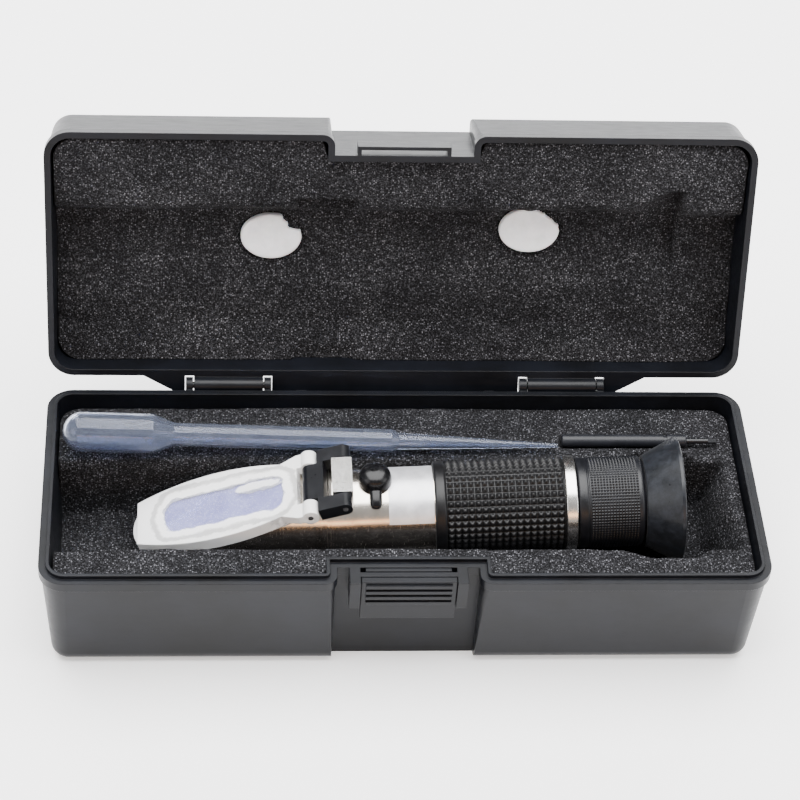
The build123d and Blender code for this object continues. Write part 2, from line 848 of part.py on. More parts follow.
with BuildPart() as objective_lens:
    with BuildSketch(Plane.XZ):
        lens_profile(carrier_lens_x + objective_seat, lens_edge, lens_radius, lens_bulge, lens_bulge)
    revolve(axis=Axis.X)
objective_lens.part.label = "objective_lens"

with BuildPart() as screw_bush:
    with BuildSketch(Plane.XY.offset(bush_bottom)):
        with Locations((screw_x, 0)):
            Circle(bush_radius)
            Circle(screw_radius + running_gap, mode=Mode.SUBTRACT)
    extrude(amount=spigot_radius - bush_drop - bush_bottom)
screw_bush.part.label = "screw_bush"

screw_end = screw_bottom + screw_length
with BuildPart() as calibration_screw:
    with BuildSketch(Plane.XY.offset(screw_bottom)):
        with Locations((screw_x, 0)):
            Circle(screw_radius)
    extrude(amount=screw_length)
    with BuildSketch(Plane.XY.offset(screw_end)):
        with Locations((screw_x, 0)):
            Rectangle(screw_slot, 3 * screw_radius)
    extrude(amount=-screw_slot_depth, mode=Mode.SUBTRACT)
calibration_screw.part.label = "calibration_screw"

# Rubber cap: a domed head, a plug into the hole and a tail that lies round the tube
tail_inner = tube_radius + cap_gap
tail_turn = radians(cap_tail_angle)
with BuildPart() as screw_cap:
    with BuildSketch(Plane.XY.offset(cap_plug_bottom)):
        with Locations((screw_x, 0)):
            Circle(cap_radius)
    extrude(amount=cap_top - cap_plug_bottom)
    fillet(screw_cap.faces().sort_by(Axis.Z)[-1].edges(), cap_dome)
    with BuildSketch(Plane.XZ):
        span(screw_x - cap_tail_width / 2, screw_x + cap_tail_width / 2, 0, tail_inner + cap_tail)
    revolve(axis=Axis.X, revolution_arc=cap_tail_angle)
    tail_plane = Plane(
        origin=(screw_x, -tail_inner * sin(tail_turn), tail_inner * cos(tail_turn)),
        x_dir=(1, 0, 0),
        z_dir=(0, -sin(tail_turn), cos(tail_turn)),
    )
    with BuildSketch(tail_plane):
        Circle(cap_tail_width / 2)
    extrude(amount=cap_tail)
    with BuildSketch(Plane.XZ):
        span(screw_x - 2 * cap_radius, screw_x + 2 * cap_radius, 0, tail_inner)
    revolve(axis=Axis.X, mode=Mode.SUBTRACT)
    with BuildSketch(Plane.XY.offset(cap_plug_bottom)):
        with Locations((screw_x, 0)):
            Circle(cap_plug_radius)
    extrude(amount=tail_inner + cap_tail / 2 - cap_plug_bottom)
screw_cap.part.label = "screw_cap"

# Strip that bends with the warmth, fixed to the carrier, and the light stop
with BuildPart() as bimetal_strip:
    with BuildSketch(Plane.YZ.offset(carrier_start + carrier_length)):
        with Locations((0, -strip_drop)):
            Rectangle(strip_width, strip_thickness)
    extrude(amount=strip_length)
bimetal_strip.part.label = "bimetal_strip"

with BuildPart() as light_stop:
    with BuildSketch(Plane.XZ):
        span(stop_x, stop_x + stop_thickness, stop_bore, spigot_radius)
    revolve(axis=Axis.X)
light_stop.part.label = "light_stop"

# Scale: seat ring, glass disc and its retaining ring
scale_disc_x = scale_x + scale_seat
scale_disc_end = scale_disc_x + scale_thickness
with BuildPart() as reticle_ring:
    with BuildSketch(Plane.XZ):
        span(scale_x, scale_x + scale_length, scale_radius + running_gap, spigot_radius)
        span(scale_x, scale_disc_x, scale_bore, scale_radius + running_gap)
    revolve(axis=Axis.X)
reticle_ring.part.label = "reticle_ring"

with BuildPart() as reticle_disc:
    with BuildSketch(Plane.XZ):
        span(scale_disc_x, scale_disc_end, 0, scale_radius)
    revolve(axis=Axis.X)
reticle_disc.part.label = "reticle_disc"

with BuildPart() as reticle_retainer:
    with BuildSketch(Plane.XZ):
        span(scale_disc_end, scale_x + scale_length, scale_bore, scale_radius)
    revolve(axis=Axis.X)
reticle_retainer.part.label = "reticle_retainer"

# Fixed sleeve that the eyepiece slides in, with its O-ring
ring_middle = spigot_radius - 2 * o_ring_radius
with BuildPart() as focus_sleeve:
    with BuildSketch(Plane.XZ):
        span(sleeve_start, sleeve_end, sleeve_bore, spigot_radius)
        groove_left = o_ring_x - o_ring_groove / 2
        groove_bottom = ring_middle - running_gap
        span(groove_left, groove_left + o_ring_groove, groove_bottom, spigot_radius, mode=Mode.SUBTRACT)
    revolve(axis=Axis.X)
focus_sleeve.part.label = "focus_sleeve"

with BuildPart() as focus_o_ring:
    with BuildSketch(Plane.XZ):
        with Locations((o_ring_x, ring_middle + o_ring_radius)):
            Circle(o_ring_radius)
    revolve(axis=Axis.X)
focus_o_ring.part.label = "focus_o_ring"

# Eyepiece barrel with its flange, two lenses, a spacer, a retaining ring and a clip
with BuildPart() as eyepiece_barrel:
    with BuildSketch(Plane.XZ):
        span(barrel_start, barrel_start + barrel_length, barrel_bore, barrel_radius)
        span(barrel_start, barrel_start + barrel_lip, barrel_lip_bore, barrel_bore)
        span(flange_right - barrel_flange, flange_right, barrel_bore, barrel_flange_radius)
    revolve(axis=Axis.X)
eyepiece_barrel.part.label = "eyepiece_barrel"

with BuildPart() as field_lens:
    with BuildSketch(Plane.XZ):
        lens_profile(field_lens_x, field_lens_edge, glass_radius, 0, lens_bulge)
    revolve(axis=Axis.X)
field_lens.part.label = "field_lens"

with BuildPart() as lens_spacer:
    with BuildSketch(Plane.XZ):
        span(field_lens_x + field_lens_edge + glass_seat, eye_lens_x - glass_seat, spacer_bore, glass_radius)
    revolve(axis=Axis.X)
lens_spacer.part.label = "lens_spacer"

with BuildPart() as eye_lens:
    with BuildSketch(Plane.XZ):
        lens_profile(eye_lens_x, eye_lens_edge, glass_radius, lens_bulge, 0)
    revolve(axis=Axis.X)
eye_lens.part.label = "eye_lens"

with BuildPart() as lens_retainer:
    with BuildSketch(Plane.XZ):
        span(eye_lens_end, eye_lens_end + retainer_length, retainer_bore, glass_radius)
    revolve(axis=Axis.X)
lens_retainer.part.label = "lens_retainer"

with BuildPart() as eyepiece_clip:
    with BuildSketch(Plane.XZ):
        span(focus_end + focus_gap, focus_end + focus_gap + clip_thickness, barrel_radius, clip_radius)
    revolve(axis=Axis.X)
eyepiece_clip.part.label = "eyepiece_clip"

# Focus ring: a sleeve with a wall that the flange and the clip hold, and a neck for the eyecup
with BuildPart() as focus_ring:
    with BuildSketch(Plane.XZ):
        span(focus_start, wall_start, tube_bore, focus_radius)
        span(wall_start, focus_end, barrel_radius + running_gap, focus_radius)
        span(focus_end, focus_end + neck_length, neck_bore, neck_radius)
    revolve(axis=Axis.X)
focus_ring.part.label = "focus_ring"

# Rubber eyecup on the neck
cup_floor_start = focus_end + neck_length + running_gap
cup_floor_end = cup_floor_start + cup_floor
with BuildPart() as eyecup:
    with BuildSketch(Plane.XZ):
        with BuildLine():
            Polyline(
                (cup_start, neck_radius + running_gap),
                (cup_start, cup_root_radius),
                (cup_end - cup_lip, cup_radius),
                (cup_end, cup_radius),
                (cup_end, cup_radius - cup_wall),
                (cup_end - cup_lip, cup_radius - cup_wall),
                (cup_floor_end, cup_root_radius),
                (cup_floor_end, cup_floor_bore),
                (cup_floor_start, cup_floor_bore),
                (cup_floor_start, neck_radius + running_gap),
                close=True,
            )
        make_face()
    revolve(axis=Axis.X)
eyecup.part.label = "eyecup"

# Transfer pipette, blown in one piece: bulb, cone, stem, step and a tip that tapers
with BuildPart() as pipette:
    cone_x = bulb_length + bulb_cone
    step_x = cone_x + stem_length
    tip_x = step_x + stem_step
    end_x = tip_x + tip_length
    with BuildSketch(Plane.XZ):
        with BuildLine():
            CenterArc((bulb_radius, 0), bulb_radius, 90, 90)
            Polyline(
                (bulb_radius, bulb_radius),
                (bulb_length, bulb_radius),
                (cone_x, stem_radius),
                (step_x, stem_radius),
                (tip_x, stem_end_radius),
                (end_x, tip_radius),
                (end_x, tip_radius - tip_wall),
                (tip_x, stem_end_radius - pipette_wall),
                (step_x, stem_radius - pipette_wall),
                (cone_x, stem_radius - pipette_wall),
                (bulb_length, bulb_radius - pipette_wall),
                (bulb_radius, bulb_radius - pipette_wall),
            )
            CenterArc((bulb_radius, 0), bulb_radius - pipette_wall, 90, 90)
            Line((pipette_wall, 0), (0, 0))
        make_face()
    revolve(axis=Axis.X)
pipette.part.label = "pipette"

# Screwdriver for the calibration screw: handle with a turned end, and a flat blade set in it
with BuildPart() as screwdriver_handle:
    with BuildSketch(Plane.XZ):
        span(0, driver_length, 0, driver_radius)
    revolve(axis=Axis.X)
    fillet(screwdriver_handle.edges(), driver_round)
    with BuildSketch(Plane.XZ):
        neck_x = driver_length - driver_end
        span(neck_x, neck_x + driver_neck_length, driver_radius - driver_neck, 2 * driver_radius)
        span(driver_length - blade_set, driver_length, 0, blade_radius + pin_fit)
    revolve(axis=Axis.X, mode=Mode.SUBTRACT)
screwdriver_handle.part.label = "screwdriver_handle"

with BuildPart() as screwdriver_blade:
    blade_end = driver_length + blade_length
    with BuildSketch(Plane.XZ):
        span(driver_length - blade_set, blade_end, 0, blade_radius)
    revolve(axis=Axis.X)
    with BuildSketch(Plane.YZ.offset(blade_end)):
        for side in (-1, 1):
            with Locations((0, side * (blade_tip_half + blade_radius))):
                Rectangle(4 * blade_radius, 2 * blade_radius)
    extrude(amount=-blade_tip, mode=Mode.SUBTRACT)
screwdriver_blade.part.label = "screwdriver_blade"

# Every piece, grouped by the place that it is moved to
case_pieces = (base_shell, hinge_pins, latch_slider, base_foam)
lid_pieces = (lid_shell, lid_foam, lid_plugs)
tool_pieces = (
    prism_housing, main_prism, prism_seal, tube_collar, main_tube, hinge_block, link_pin,
    plate_link, plate_pin, daylight_plate, rubber_grip, trim_ring, lens_carrier, objective_lens,
    screw_bush, calibration_screw, screw_cap, bimetal_strip, light_stop, reticle_ring,
    reticle_disc, reticle_retainer, focus_sleeve, focus_o_ring, eyepiece_barrel, field_lens,
    lens_spacer, eye_lens, lens_retainer, eyepiece_clip, focus_ring, eyecup,
)
driver_pieces = (screwdriver_handle, screwdriver_blade)

os.makedirs("parts", exist_ok=True)
for place, pieces in (
    (case_place, case_pieces),
    (lid_place, lid_pieces),
    (tool_place, tool_pieces),
    (pipette_place, (pipette,)),
    (driver_place, driver_pieces),
):
    for piece in pieces:
        export_step(piece.part.moved(place), f"parts/{piece.part.label}.step")
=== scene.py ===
# %% [markdown]
# # A refractometer kit in Blender
# The object is a handheld antifreeze refractometer that lies in a foam lined plastic case with
# its lid open, beside a transfer pipette and a small screwdriver. Its construction comes from a
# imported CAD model, the frame. This lesson gives every surface its finish, and models again what
# a CAD solid can't show: cut foam, knurling and moulded rubber.

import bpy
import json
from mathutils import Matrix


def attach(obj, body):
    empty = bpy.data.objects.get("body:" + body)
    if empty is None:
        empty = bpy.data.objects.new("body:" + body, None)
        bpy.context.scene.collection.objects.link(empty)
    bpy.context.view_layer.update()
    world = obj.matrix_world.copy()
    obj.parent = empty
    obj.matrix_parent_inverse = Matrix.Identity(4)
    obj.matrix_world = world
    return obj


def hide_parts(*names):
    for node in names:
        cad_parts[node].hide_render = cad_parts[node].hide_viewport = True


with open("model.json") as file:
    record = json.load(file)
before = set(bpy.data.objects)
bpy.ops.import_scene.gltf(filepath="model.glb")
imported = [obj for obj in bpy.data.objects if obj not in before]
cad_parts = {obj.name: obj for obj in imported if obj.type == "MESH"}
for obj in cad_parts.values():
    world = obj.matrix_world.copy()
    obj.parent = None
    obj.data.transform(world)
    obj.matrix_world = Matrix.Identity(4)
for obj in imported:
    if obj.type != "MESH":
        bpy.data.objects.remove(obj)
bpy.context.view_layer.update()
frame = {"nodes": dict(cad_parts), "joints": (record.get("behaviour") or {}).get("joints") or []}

# %% [markdown]
# Everything below is worked out with numpy arrays in metres. The frame's own hinge axes say
# where the lid turns and where the instrument lies, so they are read from it and not typed in.

# %% Units, axes and the frame's joints
import json
import math

import bpy
import numpy as np
from mathutils import Matrix, Vector

mm = 0.001
nodes = frame["nodes"]
joints = {joint["name"]: joint for joint in frame["joints"]}
lid_axis = np.array(joints["lid_hinge"]["pos_m"])
lid_angle = math.radians(-joints["lid_hinge"]["range_deg"][0])
tube_axis = np.array(joints["focus_turn"]["axis"])
across_axis = np.array([0.0, 1.0, 0.0])
up_axis = np.cross(tube_axis, across_axis)
turn_station = 50 * mm
tube_origin = np.array(joints["focus_turn"]["pos_m"]) - turn_station * tube_axis
print("lid stands open by", round(math.degrees(lid_angle), 1), "degrees")

# %% [markdown]
# ## Camera
# It is placed by its direction and distance from a target between the two halves, and then
# rolled by a few degrees, because the picture's horizon isn't level.

# %% Camera
view_target = Vector((-0.88, 16.96, 53.66)) * mm
view_yaw = math.radians(6.05)
view_rise = math.radians(44.33)
view_roll = math.radians(4.44)
view_distance = 766 * mm
near_clip = 10 * mm
view_lens = 120.24
sensor = 36.0


def make_camera():
    """The camera looks from target + distance x direction back to the target, then rolls."""
    back_way = Vector((
        -math.sin(view_yaw) * math.cos(view_rise),
        -math.cos(view_yaw) * math.cos(view_rise),
        math.sin(view_rise),
    ))
    data = bpy.data.cameras.new("camera")
    data.lens = view_lens
    data.sensor_width = sensor
    data.dof.use_dof = False
    data.clip_start = near_clip
    camera = bpy.data.objects.new("camera", data)
    bpy.context.scene.collection.objects.link(camera)
    turn = back_way.to_track_quat("Z", "Y").to_matrix() @ Matrix.Rotation(view_roll, 3, "Z")
    camera.matrix_world = Matrix.Translation(view_target + view_distance * back_way) @ turn.to_4x4()
    bpy.context.scene.camera = camera
    return camera


print("camera at", [round(v, 3) for v in make_camera().matrix_world.translation])

# %% [markdown]
# ## Colours and nodes
# A colour is written as the six digits that a picture editor shows. Blender reckons in linear
# light, so one function turns the digits by the sRGB curve. A material is a network of nodes,
# and one more function adds a node with its settings and its links.

# %% Colour and node helpers
def srgb(code, alpha=1.0):
    """Turns a six digit sRGB hex colour into linear values, by the sRGB curve."""
    raw = np.array([int(code[i:i + 2], 16) for i in (1, 3, 5)]) / 255
    linear = np.where(raw <= 0.04045, raw / 12.92, ((raw + 0.055) / 1.055) ** 2.4)
    return (*linear.tolist(), alpha)


def add_node(tree, kind, inputs=None, stops=(), **settings):
    """Adds one node. An input that is a node takes that node's first output, one that is a socket
    takes that socket, and any other stays a constant. A ramp's stops are (place, hex colour)."""
    node = tree.nodes.new("ShaderNode" + kind)
    for name, value in settings.items():
        setattr(node, name, value)
    for name, value in (inputs or {}).items():
        if isinstance(value, bpy.types.Node):
            tree.links.new(value.outputs[0], node.inputs[name])
        elif isinstance(value, bpy.types.NodeSocket):
            tree.links.new(value, node.inputs[name])
        else:
            node.inputs[name].default_value = value
    if stops:
        elements = node.color_ramp.elements
        while len(elements) < len(stops):
            elements.new(0.5)
        for element, (place, code) in zip(elements, stops):
            element.position = place
            element.color = srgb(code)
    return node


def new_material(name):
    """A material with no nodes yet, and its tree."""
    material = bpy.data.materials.new(name)
    material.use_nodes = True
    material.node_tree.nodes.clear()
    return material, material.node_tree


def shade(material, inputs):
    """Puts a Principled shader with these inputs on the material's output."""
    shader = add_node(material.node_tree, "BsdfPrincipled", inputs)
    add_node(material.node_tree, "OutputMaterial", {"Surface": shader})
    return material


print("white in linear light is", srgb("#ffffff"))

# %% [markdown]
# ## Floor
# A product photograph of this kind is taken on a white sweep of paper. A large square stands for
# it. It glows a little, as a light table does, so that the shadows stay faint.

# %% Floor
floor_half = 3.0
floor_glow = 0.5


def make_floor():
    """One square face from -half to half both ways, at height 0."""
    mesh = bpy.data.meshes.new("floor")
    corners = [(x * floor_half, y * floor_half, 0) for x, y in ((-1, -1), (1, -1), (1, 1), (-1, 1))]
    mesh.from_pydata(corners, [], [(0, 1, 2, 3)])
    mesh.materials.append(shade(new_material("white_sweep")[0], {
        "Base Color": srgb("#f7f7f8"), "Roughness": 0.9, "Specular IOR Level": 0.2,
        "Emission Color": srgb("#ffffff"), "Emission Strength": floor_glow,
    }))
    floor = bpy.data.objects.new("floor", mesh)
    bpy.context.scene.collection.objects.link(floor)


make_floor()
print("floor is", 2 * floor_half, "m wide")

# %% [markdown]
# ## Light
# A wide one hangs above, a low one behind gives the case its grey sheen on the faces that look
# up, two weak ones fill the sides, and a narrow warm strip in front draws the amber streak
# along the steel tube.

# %% Lamps
world_light = 0.45
lamps = {  # place, what it looks at, width and height in metres, watts, colour
    "top_box": ((0.0, 0.15, 1.1), (0, 0, 0.03), (1.5, 1.2), 62, "#ffffff"),
    "back_box": ((0.0, 1.5, 0.5), (0, 0, 0.05), (2.4, 0.7), 50, "#ffffff"),
    "left_box": ((-1.1, -0.5, 0.6), (0, 0, 0.05), (0.7, 0.9), 6, "#ffffff"),
    "right_box": ((1.1, -0.4, 0.6), (0, 0, 0.05), (0.7, 0.9), 6, "#ffffff"),
    "warm_strip": ((0.0, -1.1, 0.42), (0, 0, 0.04), (1.6, 0.16), 3.5, "#ffc080"),
}


def soft_box(name, place, target, size, power, colour):
    """A rectangular area lamp at a place, which looks at a target."""
    data = bpy.data.lights.new(name, "AREA")
    data.shape = "RECTANGLE"
    data.size, data.size_y = size
    data.energy = power
    data.color = srgb(colour)[:3]
    lamp = bpy.data.objects.new(name, data)
    bpy.context.scene.collection.objects.link(lamp)
    way = Vector(place) - Vector(target)
    lamp.matrix_world = Matrix.Translation(place) @ way.to_track_quat("Z", "Y").to_matrix().to_4x4()


for lamp_name, setting in lamps.items():
    soft_box(lamp_name, *setting)
world = bpy.data.worlds.new("studio")
bpy.context.scene.world = world
world.use_nodes = True
world.node_tree.nodes["Background"].inputs["Color"].default_value = srgb("#ffffff")
world.node_tree.nodes["Background"].inputs["Strength"].default_value = world_light
print(len(lamps), "lamps are set")

# %% [markdown]
# ## Patterns
# Every finish starts from what the real material is. The texture coordinates are Object
# coordinates, which are metres here, so a pattern of so many millimetres gets a scale of one
# over that size. A pattern is a number from 0 to 1 at each place, and a Map Range node takes it
# to the range that a shader's input needs.

# %% Pattern helpers
def object_place(tree, stretch=(1, 1, 1)):
    """Object coordinates in metres, stretched along X, Y and Z."""
    place = add_node(tree, "TexCoord")
    return add_node(tree, "Mapping", {"Vector": place.outputs["Object"], "Scale": stretch})


def lumps(size, detail=4.0, rough=0.6):
    """Inputs of a Noise Texture: its largest lumps are about size metres across."""
    return {"Scale": 1 / size, "Detail": detail, "Roughness": rough}


def span(low, high, new_low, new_high):
    """Inputs of a Map Range: low to high becomes new_low to new_high, held at the ends."""
    return {"From Min": low, "From Max": high, "To Min": new_low, "To Max": new_high}


def relief(depth, strength):
    """Inputs of a Bump: a height of 0 to 1 tilts the surface as if it were depth metres deep."""
    return {"Distance": depth, "Strength": strength}


print("a 20 mm pattern has scale", lumps(20 * mm)["Scale"])

# %% [markdown]
# ## Case plastic
# Polypropylene, moulded in a spark eroded tool: a fine dull grain, a little blue in its black,
# paler where hands have rubbed the edges. Its edges are rounded only in the shading, by a Bevel
# node, because the CAD shells keep their own mesh.

# %% Polypropylene
def polypropylene(name, base, light, roughness):
    """Grain every 0.35 mm tilts the surface. Clouds 20 mm wide pick between two colours, and
    scuffs 1.6 mm wide, drawn out along X, vary the roughness."""
    material, tree = new_material(name)
    place = object_place(tree)
    grain = add_node(tree, "TexNoise", {"Vector": place, **lumps(0.35 * mm, 3.0)})
    cloud = add_node(tree, "TexNoise", {"Vector": place, **lumps(20 * mm, 5.0, 0.65)})
    along = object_place(tree, (0.25, 1.0, 1.0))
    scuff = add_node(tree, "TexNoise", {"Vector": along, **lumps(1.6 * mm, 6.0, 0.7)})
    share = add_node(tree, "MapRange", {"Value": cloud, **span(0.35, 0.7, 0, 1)})
    worn = span(0.35, 0.7, roughness - 0.05, roughness + 0.08)
    edges = add_node(tree, "Bevel", {"Radius": 0.35 * mm}, samples=4)
    return shade(material, {
        "Base Color": add_node(tree, "ValToRGB", {"Fac": share}, ((0.0, base), (1.0, light))),
        "Roughness": add_node(tree, "MapRange", {"Value": scuff, **worn}),
        "IOR": 1.49, "Specular IOR Level": 0.2,
        "Normal": add_node(tree, "Bump", {"Height": grain, "Normal": edges, **relief(0.02 * mm, 0.5)}),
    })


case_plastic = polypropylene("polypropylene_case", "#0a0b0e", "#12141a", 0.34)
print("made", case_plastic.name)

# %% [markdown]
# ## Foam
# Open cell polyether, cut from a block: cells of about 0.6 mm. Their pores are painted shade,
# near black, and pale painted highlights lie on the threads of foam between them. The highlights
# are dots, lit in a random third of the cells.

# %% Dots in some of the cells
def specks(tree, place, size, share, reach):
    """Each cell about size metres wide draws a number. Where it is over 1 - share the middle is
    lit, the more the higher the number, and it fades out at the distance reach."""
    cell = add_node(tree, "TexVoronoi", {"Vector": place, "Scale": 1 / size})
    chance = add_node(tree, "SeparateColor", {"Color": cell.outputs["Color"]})
    light = add_node(tree, "MapRange", {"Value": chance, **span(1 - share, 1.0, 0.25, 1.0)})
    picked = add_node(tree, "Math", {0: chance, 1: 1 - share}, operation="GREATER_THAN")
    near = add_node(tree, "MapRange", {"Value": cell, **span(0.15 * reach, reach, 1.0, 0.0)})
    dot = add_node(tree, "Math", {0: light, 1: near}, operation="MULTIPLY")
    return add_node(tree, "Math", {0: dot, 1: picked}, operation="MULTIPLY")


print("speck helper is ready")

# %% Open cell foam
def open_cell_foam(name):
    """Painted shade in pores 0.62 mm wide, times a grain of 0.42 mm, gives the body, painted
    highlights on threads 0.55 mm apart lie over it, and clouds 16 mm wide dim both. Pores and
    threads are 0.3 mm deep."""
    material, tree = new_material(name)
    place = object_place(tree)
    pores = add_node(tree, "TexVoronoi", {"Vector": place, "Scale": 1 / (0.62 * mm)})
    fine = add_node(tree, "TexNoise", {"Vector": place, **lumps(0.42 * mm, 3.0, 0.75)})
    cloud = add_node(tree, "TexNoise", {"Vector": place, **lumps(16 * mm)})
    # Painted shade: each pore is near black in its middle and paler at its edge, for the shade in its
    # hollow.
    pore_shade = add_node(tree, "MapRange", {"Value": pores, **span(0.1, 0.8, 0.0, 1.0)})
    grain = add_node(tree, "MapRange", {"Value": fine, **span(0.36, 0.64, 0.0, 1.0)})
    cut = add_node(tree, "Math", {0: pore_shade, 1: grain}, operation="MULTIPLY")
    pore_shade_colours = ((0.0, "#09090a"), (0.3, "#222224"), (0.9, "#4c4c50"))
    body = add_node(tree, "ValToRGB", {"Fac": cut}, pore_shade_colours)
    # Painted highlights: a random third of the cells get a pale grey dot, #9c9ca2, for threads that catch
    # the light.
    painted_thread_highlight = specks(tree, place, 0.55 * mm, 0.34, 0.5)
    lit = add_node(tree, "Mix", {"Factor": painted_thread_highlight, 6: body, 7: srgb("#9c9ca2")}, data_type="RGBA")
    tint = add_node(tree, "ValToRGB", {"Fac": cloud}, ((0.3, "#b4b4b6"), (0.7, "#ffffff")))
    colour = add_node(tree, "Mix", {"Factor": 1.0, 6: lit.outputs[2], 7: tint},
                      data_type="RGBA", blend_type="MULTIPLY")
    height = add_node(tree, "Math", {0: cut, 1: painted_thread_highlight}, operation="ADD")
    return shade(material, {
        "Base Color": colour.outputs[2], "Roughness": 0.95, "Specular IOR Level": 0.12,
        "Normal": add_node(tree, "Bump", {"Height": height, **relief(0.3 * mm, 0.8)}),
    })


dark_foam = open_cell_foam("polyether_foam")
print("made", dark_foam.name)

# %% [markdown]
# ## Metals and paints
# The tube is stainless steel, turned and then brushed round, so its scratches run round it and
# its shine spreads along it. Nickel plate is smooth and bright, and brass stays inside. A noise
# that is squeezed along one axis and drawn out across it gives brush marks.

# %% Steel, nickel, wire and brass
def metal(name, colour, light, roughness, scratch=0.12, stretch=(1.0, 0.04, 0.04), depth=0.01):
    """Brush marks scratch mm apart, drawn out where stretch is small and depth mm deep, vary the
    roughness too. Clouds 6 mm wide pick between the two colours."""
    material, tree = new_material(name)
    brushed = object_place(tree, stretch)
    marks = add_node(tree, "TexNoise", {"Vector": brushed, **lumps(scratch * mm, 3.0, 0.7)})
    cloud = add_node(tree, "TexNoise", {"Vector": object_place(tree), **lumps(6 * mm)})
    marked = span(0.3, 0.7, roughness - 0.06, roughness + 0.1)
    return shade(material, {
        "Base Color": add_node(tree, "ValToRGB", {"Fac": cloud}, ((0.3, colour), (0.7, light))),
        "Metallic": 1.0, "Roughness": add_node(tree, "MapRange", {"Value": marks, **marked}),
        "Normal": add_node(tree, "Bump", {"Height": marks, **relief(depth * mm, 0.4)}),
    })


steel = metal("brushed_stainless_steel", "#d6cfc4", "#e6dfd6", 0.18, depth=0.003)
nickel = metal("polished_nickel_plate", "#e2e0dc", "#f2f1ee", 0.2, 0.3, (1, 1, 1), 0.004)
wire_steel = metal("drawn_steel_wire", "#b9b7b4", "#cccac8", 0.25, 0.1, (1.0, 0.04, 1.0))
brass = metal("turned_brass", "#c9a75c", "#d9bd78", 0.25)
print("made", steel.name, nickel.name, wire_steel.name, brass.name)

# %% [markdown]
# The black parts are anodised aluminium, satin paint on a casting, or ABS. All three have a thin
# dark skin with a faint orange peel, so they share one recipe with other numbers.

# %% Paint, anodised aluminium and ABS
def paint(name, base, light, roughness, grain=0.25, coat=0.0):
    """An orange peel grain mm wide and 0.012 mm deep. Clouds 5 mm wide pick between the two
    colours and vary the roughness."""
    material, tree = new_material(name)
    peel = add_node(tree, "TexNoise", {"Vector": object_place(tree), **lumps(grain * mm, 2.0)})
    cloud = add_node(tree, "TexNoise", {"Vector": object_place(tree), **lumps(5 * mm, 4.0, 0.7)})
    handled = span(0.3, 0.7, roughness - 0.04, roughness + 0.06)
    return shade(material, {
        "Base Color": add_node(tree, "ValToRGB", {"Fac": cloud}, ((0.35, base), (0.75, light))),
        "Roughness": add_node(tree, "MapRange", {"Value": cloud, **handled}),
        "IOR": 1.5, "Specular IOR Level": 0.32, "Coat Weight": coat, "Coat Roughness": 0.12,
        "Normal": add_node(tree, "Bump", {"Height": peel, **relief(0.012 * mm, 0.4)}),
    })


satin_paint = paint("satin_black_paint", "#0b0c0f", "#15161b", 0.3, 0.2, 0.1)
black_anodised = paint("black_anodised_aluminium", "#101113", "#1b1c1f", 0.38, 0.12)
focus_plastic = paint("black_abs", "#0c0d10", "#17181d", 0.36, 0.3)
driver_plastic = paint("black_driver_plastic", "#15161a", "#202127", 0.42, 0.3)
print("made", satin_paint.name, black_anodised.name, focus_plastic.name, driver_plastic.name)

# %% [markdown]
# ## Rubber and white foam
# Rubber is moulded with a matt skin. It takes dust in its hollows and shows a broad soft shine.
# The white plugs in the lid are closed cell foam with fine bubbles.

# %% Rubber
def rubber(name, base, dust, roughness):
    """Moulded rubber: 0.2 mm skin grain, and dust that clouds it in patches of 3 mm."""
    material, tree = new_material(name)
    skin = add_node(tree, "TexNoise", {"Vector": object_place(tree), **lumps(0.2 * mm, 3.0)})
    cloud = add_node(tree, "TexNoise", {"Vector": object_place(tree), **lumps(3 * mm, 6.0, 0.75)})
    dusty = span(0.3, 0.8, roughness, roughness + 0.15)
    return shade(material, {
        "Base Color": add_node(tree, "ValToRGB", {"Fac": cloud}, ((0.45, base), (0.8, dust))),
        "Roughness": add_node(tree, "MapRange", {"Value": cloud, **dusty}),
        "Specular IOR Level": 0.28, "Sheen Weight": 0.04, "Sheen Roughness": 0.4,
        "Normal": add_node(tree, "Bump", {"Height": skin, **relief(0.02 * mm, 0.5)}),
    })


grip_rubber = rubber("grip_rubber", "#0a0a0c", "#151518", 0.32)
cup_rubber = rubber("eyecup_rubber", "#14161a", "#272a31", 0.26)
cap_rubber = rubber("cap_rubber", "#060608", "#0e0e11", 0.2)
seal_rubber = rubber("seal_rubber", "#17171a", "#242428", 0.55)
print("made", grip_rubber.name, cup_rubber.name, cap_rubber.name, seal_rubber.name)

# %% White foam
def closed_cell_foam(name):
    """White EVA foam: bubbles 0.5 mm wide and 0.12 mm deep, with a little light inside it."""
    material, tree = new_material(name)
    bubbles = add_node(tree, "TexVoronoi", {"Vector": object_place(tree), "Scale": 1 / (0.5 * mm)})
    cloud = add_node(tree, "TexNoise", {"Vector": object_place(tree), **lumps(5 * mm, 3.0)})
    whites = ((0.3, "#d9d9dc"), (0.7, "#ececef"))
    return shade(material, {
        "Base Color": add_node(tree, "ValToRGB", {"Fac": cloud}, whites),
        "Roughness": 0.85, "Specular IOR Level": 0.25,
        "Subsurface Weight": 0.15, "Subsurface Scale": 1.5 * mm,
        "Normal": add_node(tree, "Bump", {"Height": bubbles, **relief(0.12 * mm, 0.5)}),
    })


plug_foam = closed_cell_foam("white_eva_foam")
print("made", plug_foam.name)

# %% [markdown]
# ## Clear parts
# The lenses and the reticle are optical glass, clear and polished. A faint ripple breaks up
# their reflections, as the traces of polishing do.

# %% Optical glass
def clear_glass(name):
    """Clear glass with an IOR of 1.52, whose surface ripples every 4 mm by 0.005 mm."""
    material, tree = new_material(name)
    ripple = add_node(tree, "TexNoise", {"Vector": object_place(tree), **lumps(4 * mm, 3.0)})
    return shade(material, {
        "Base Color": srgb("#eef3f6"), "Roughness": 0.02, "IOR": 1.52, "Transmission Weight": 1.0,
        "Normal": add_node(tree, "Bump", {"Height": ripple, **relief(0.005 * mm, 0.3)}),
    })


optical_glass = clear_glass("optical_glass")
print("made", optical_glass.name)

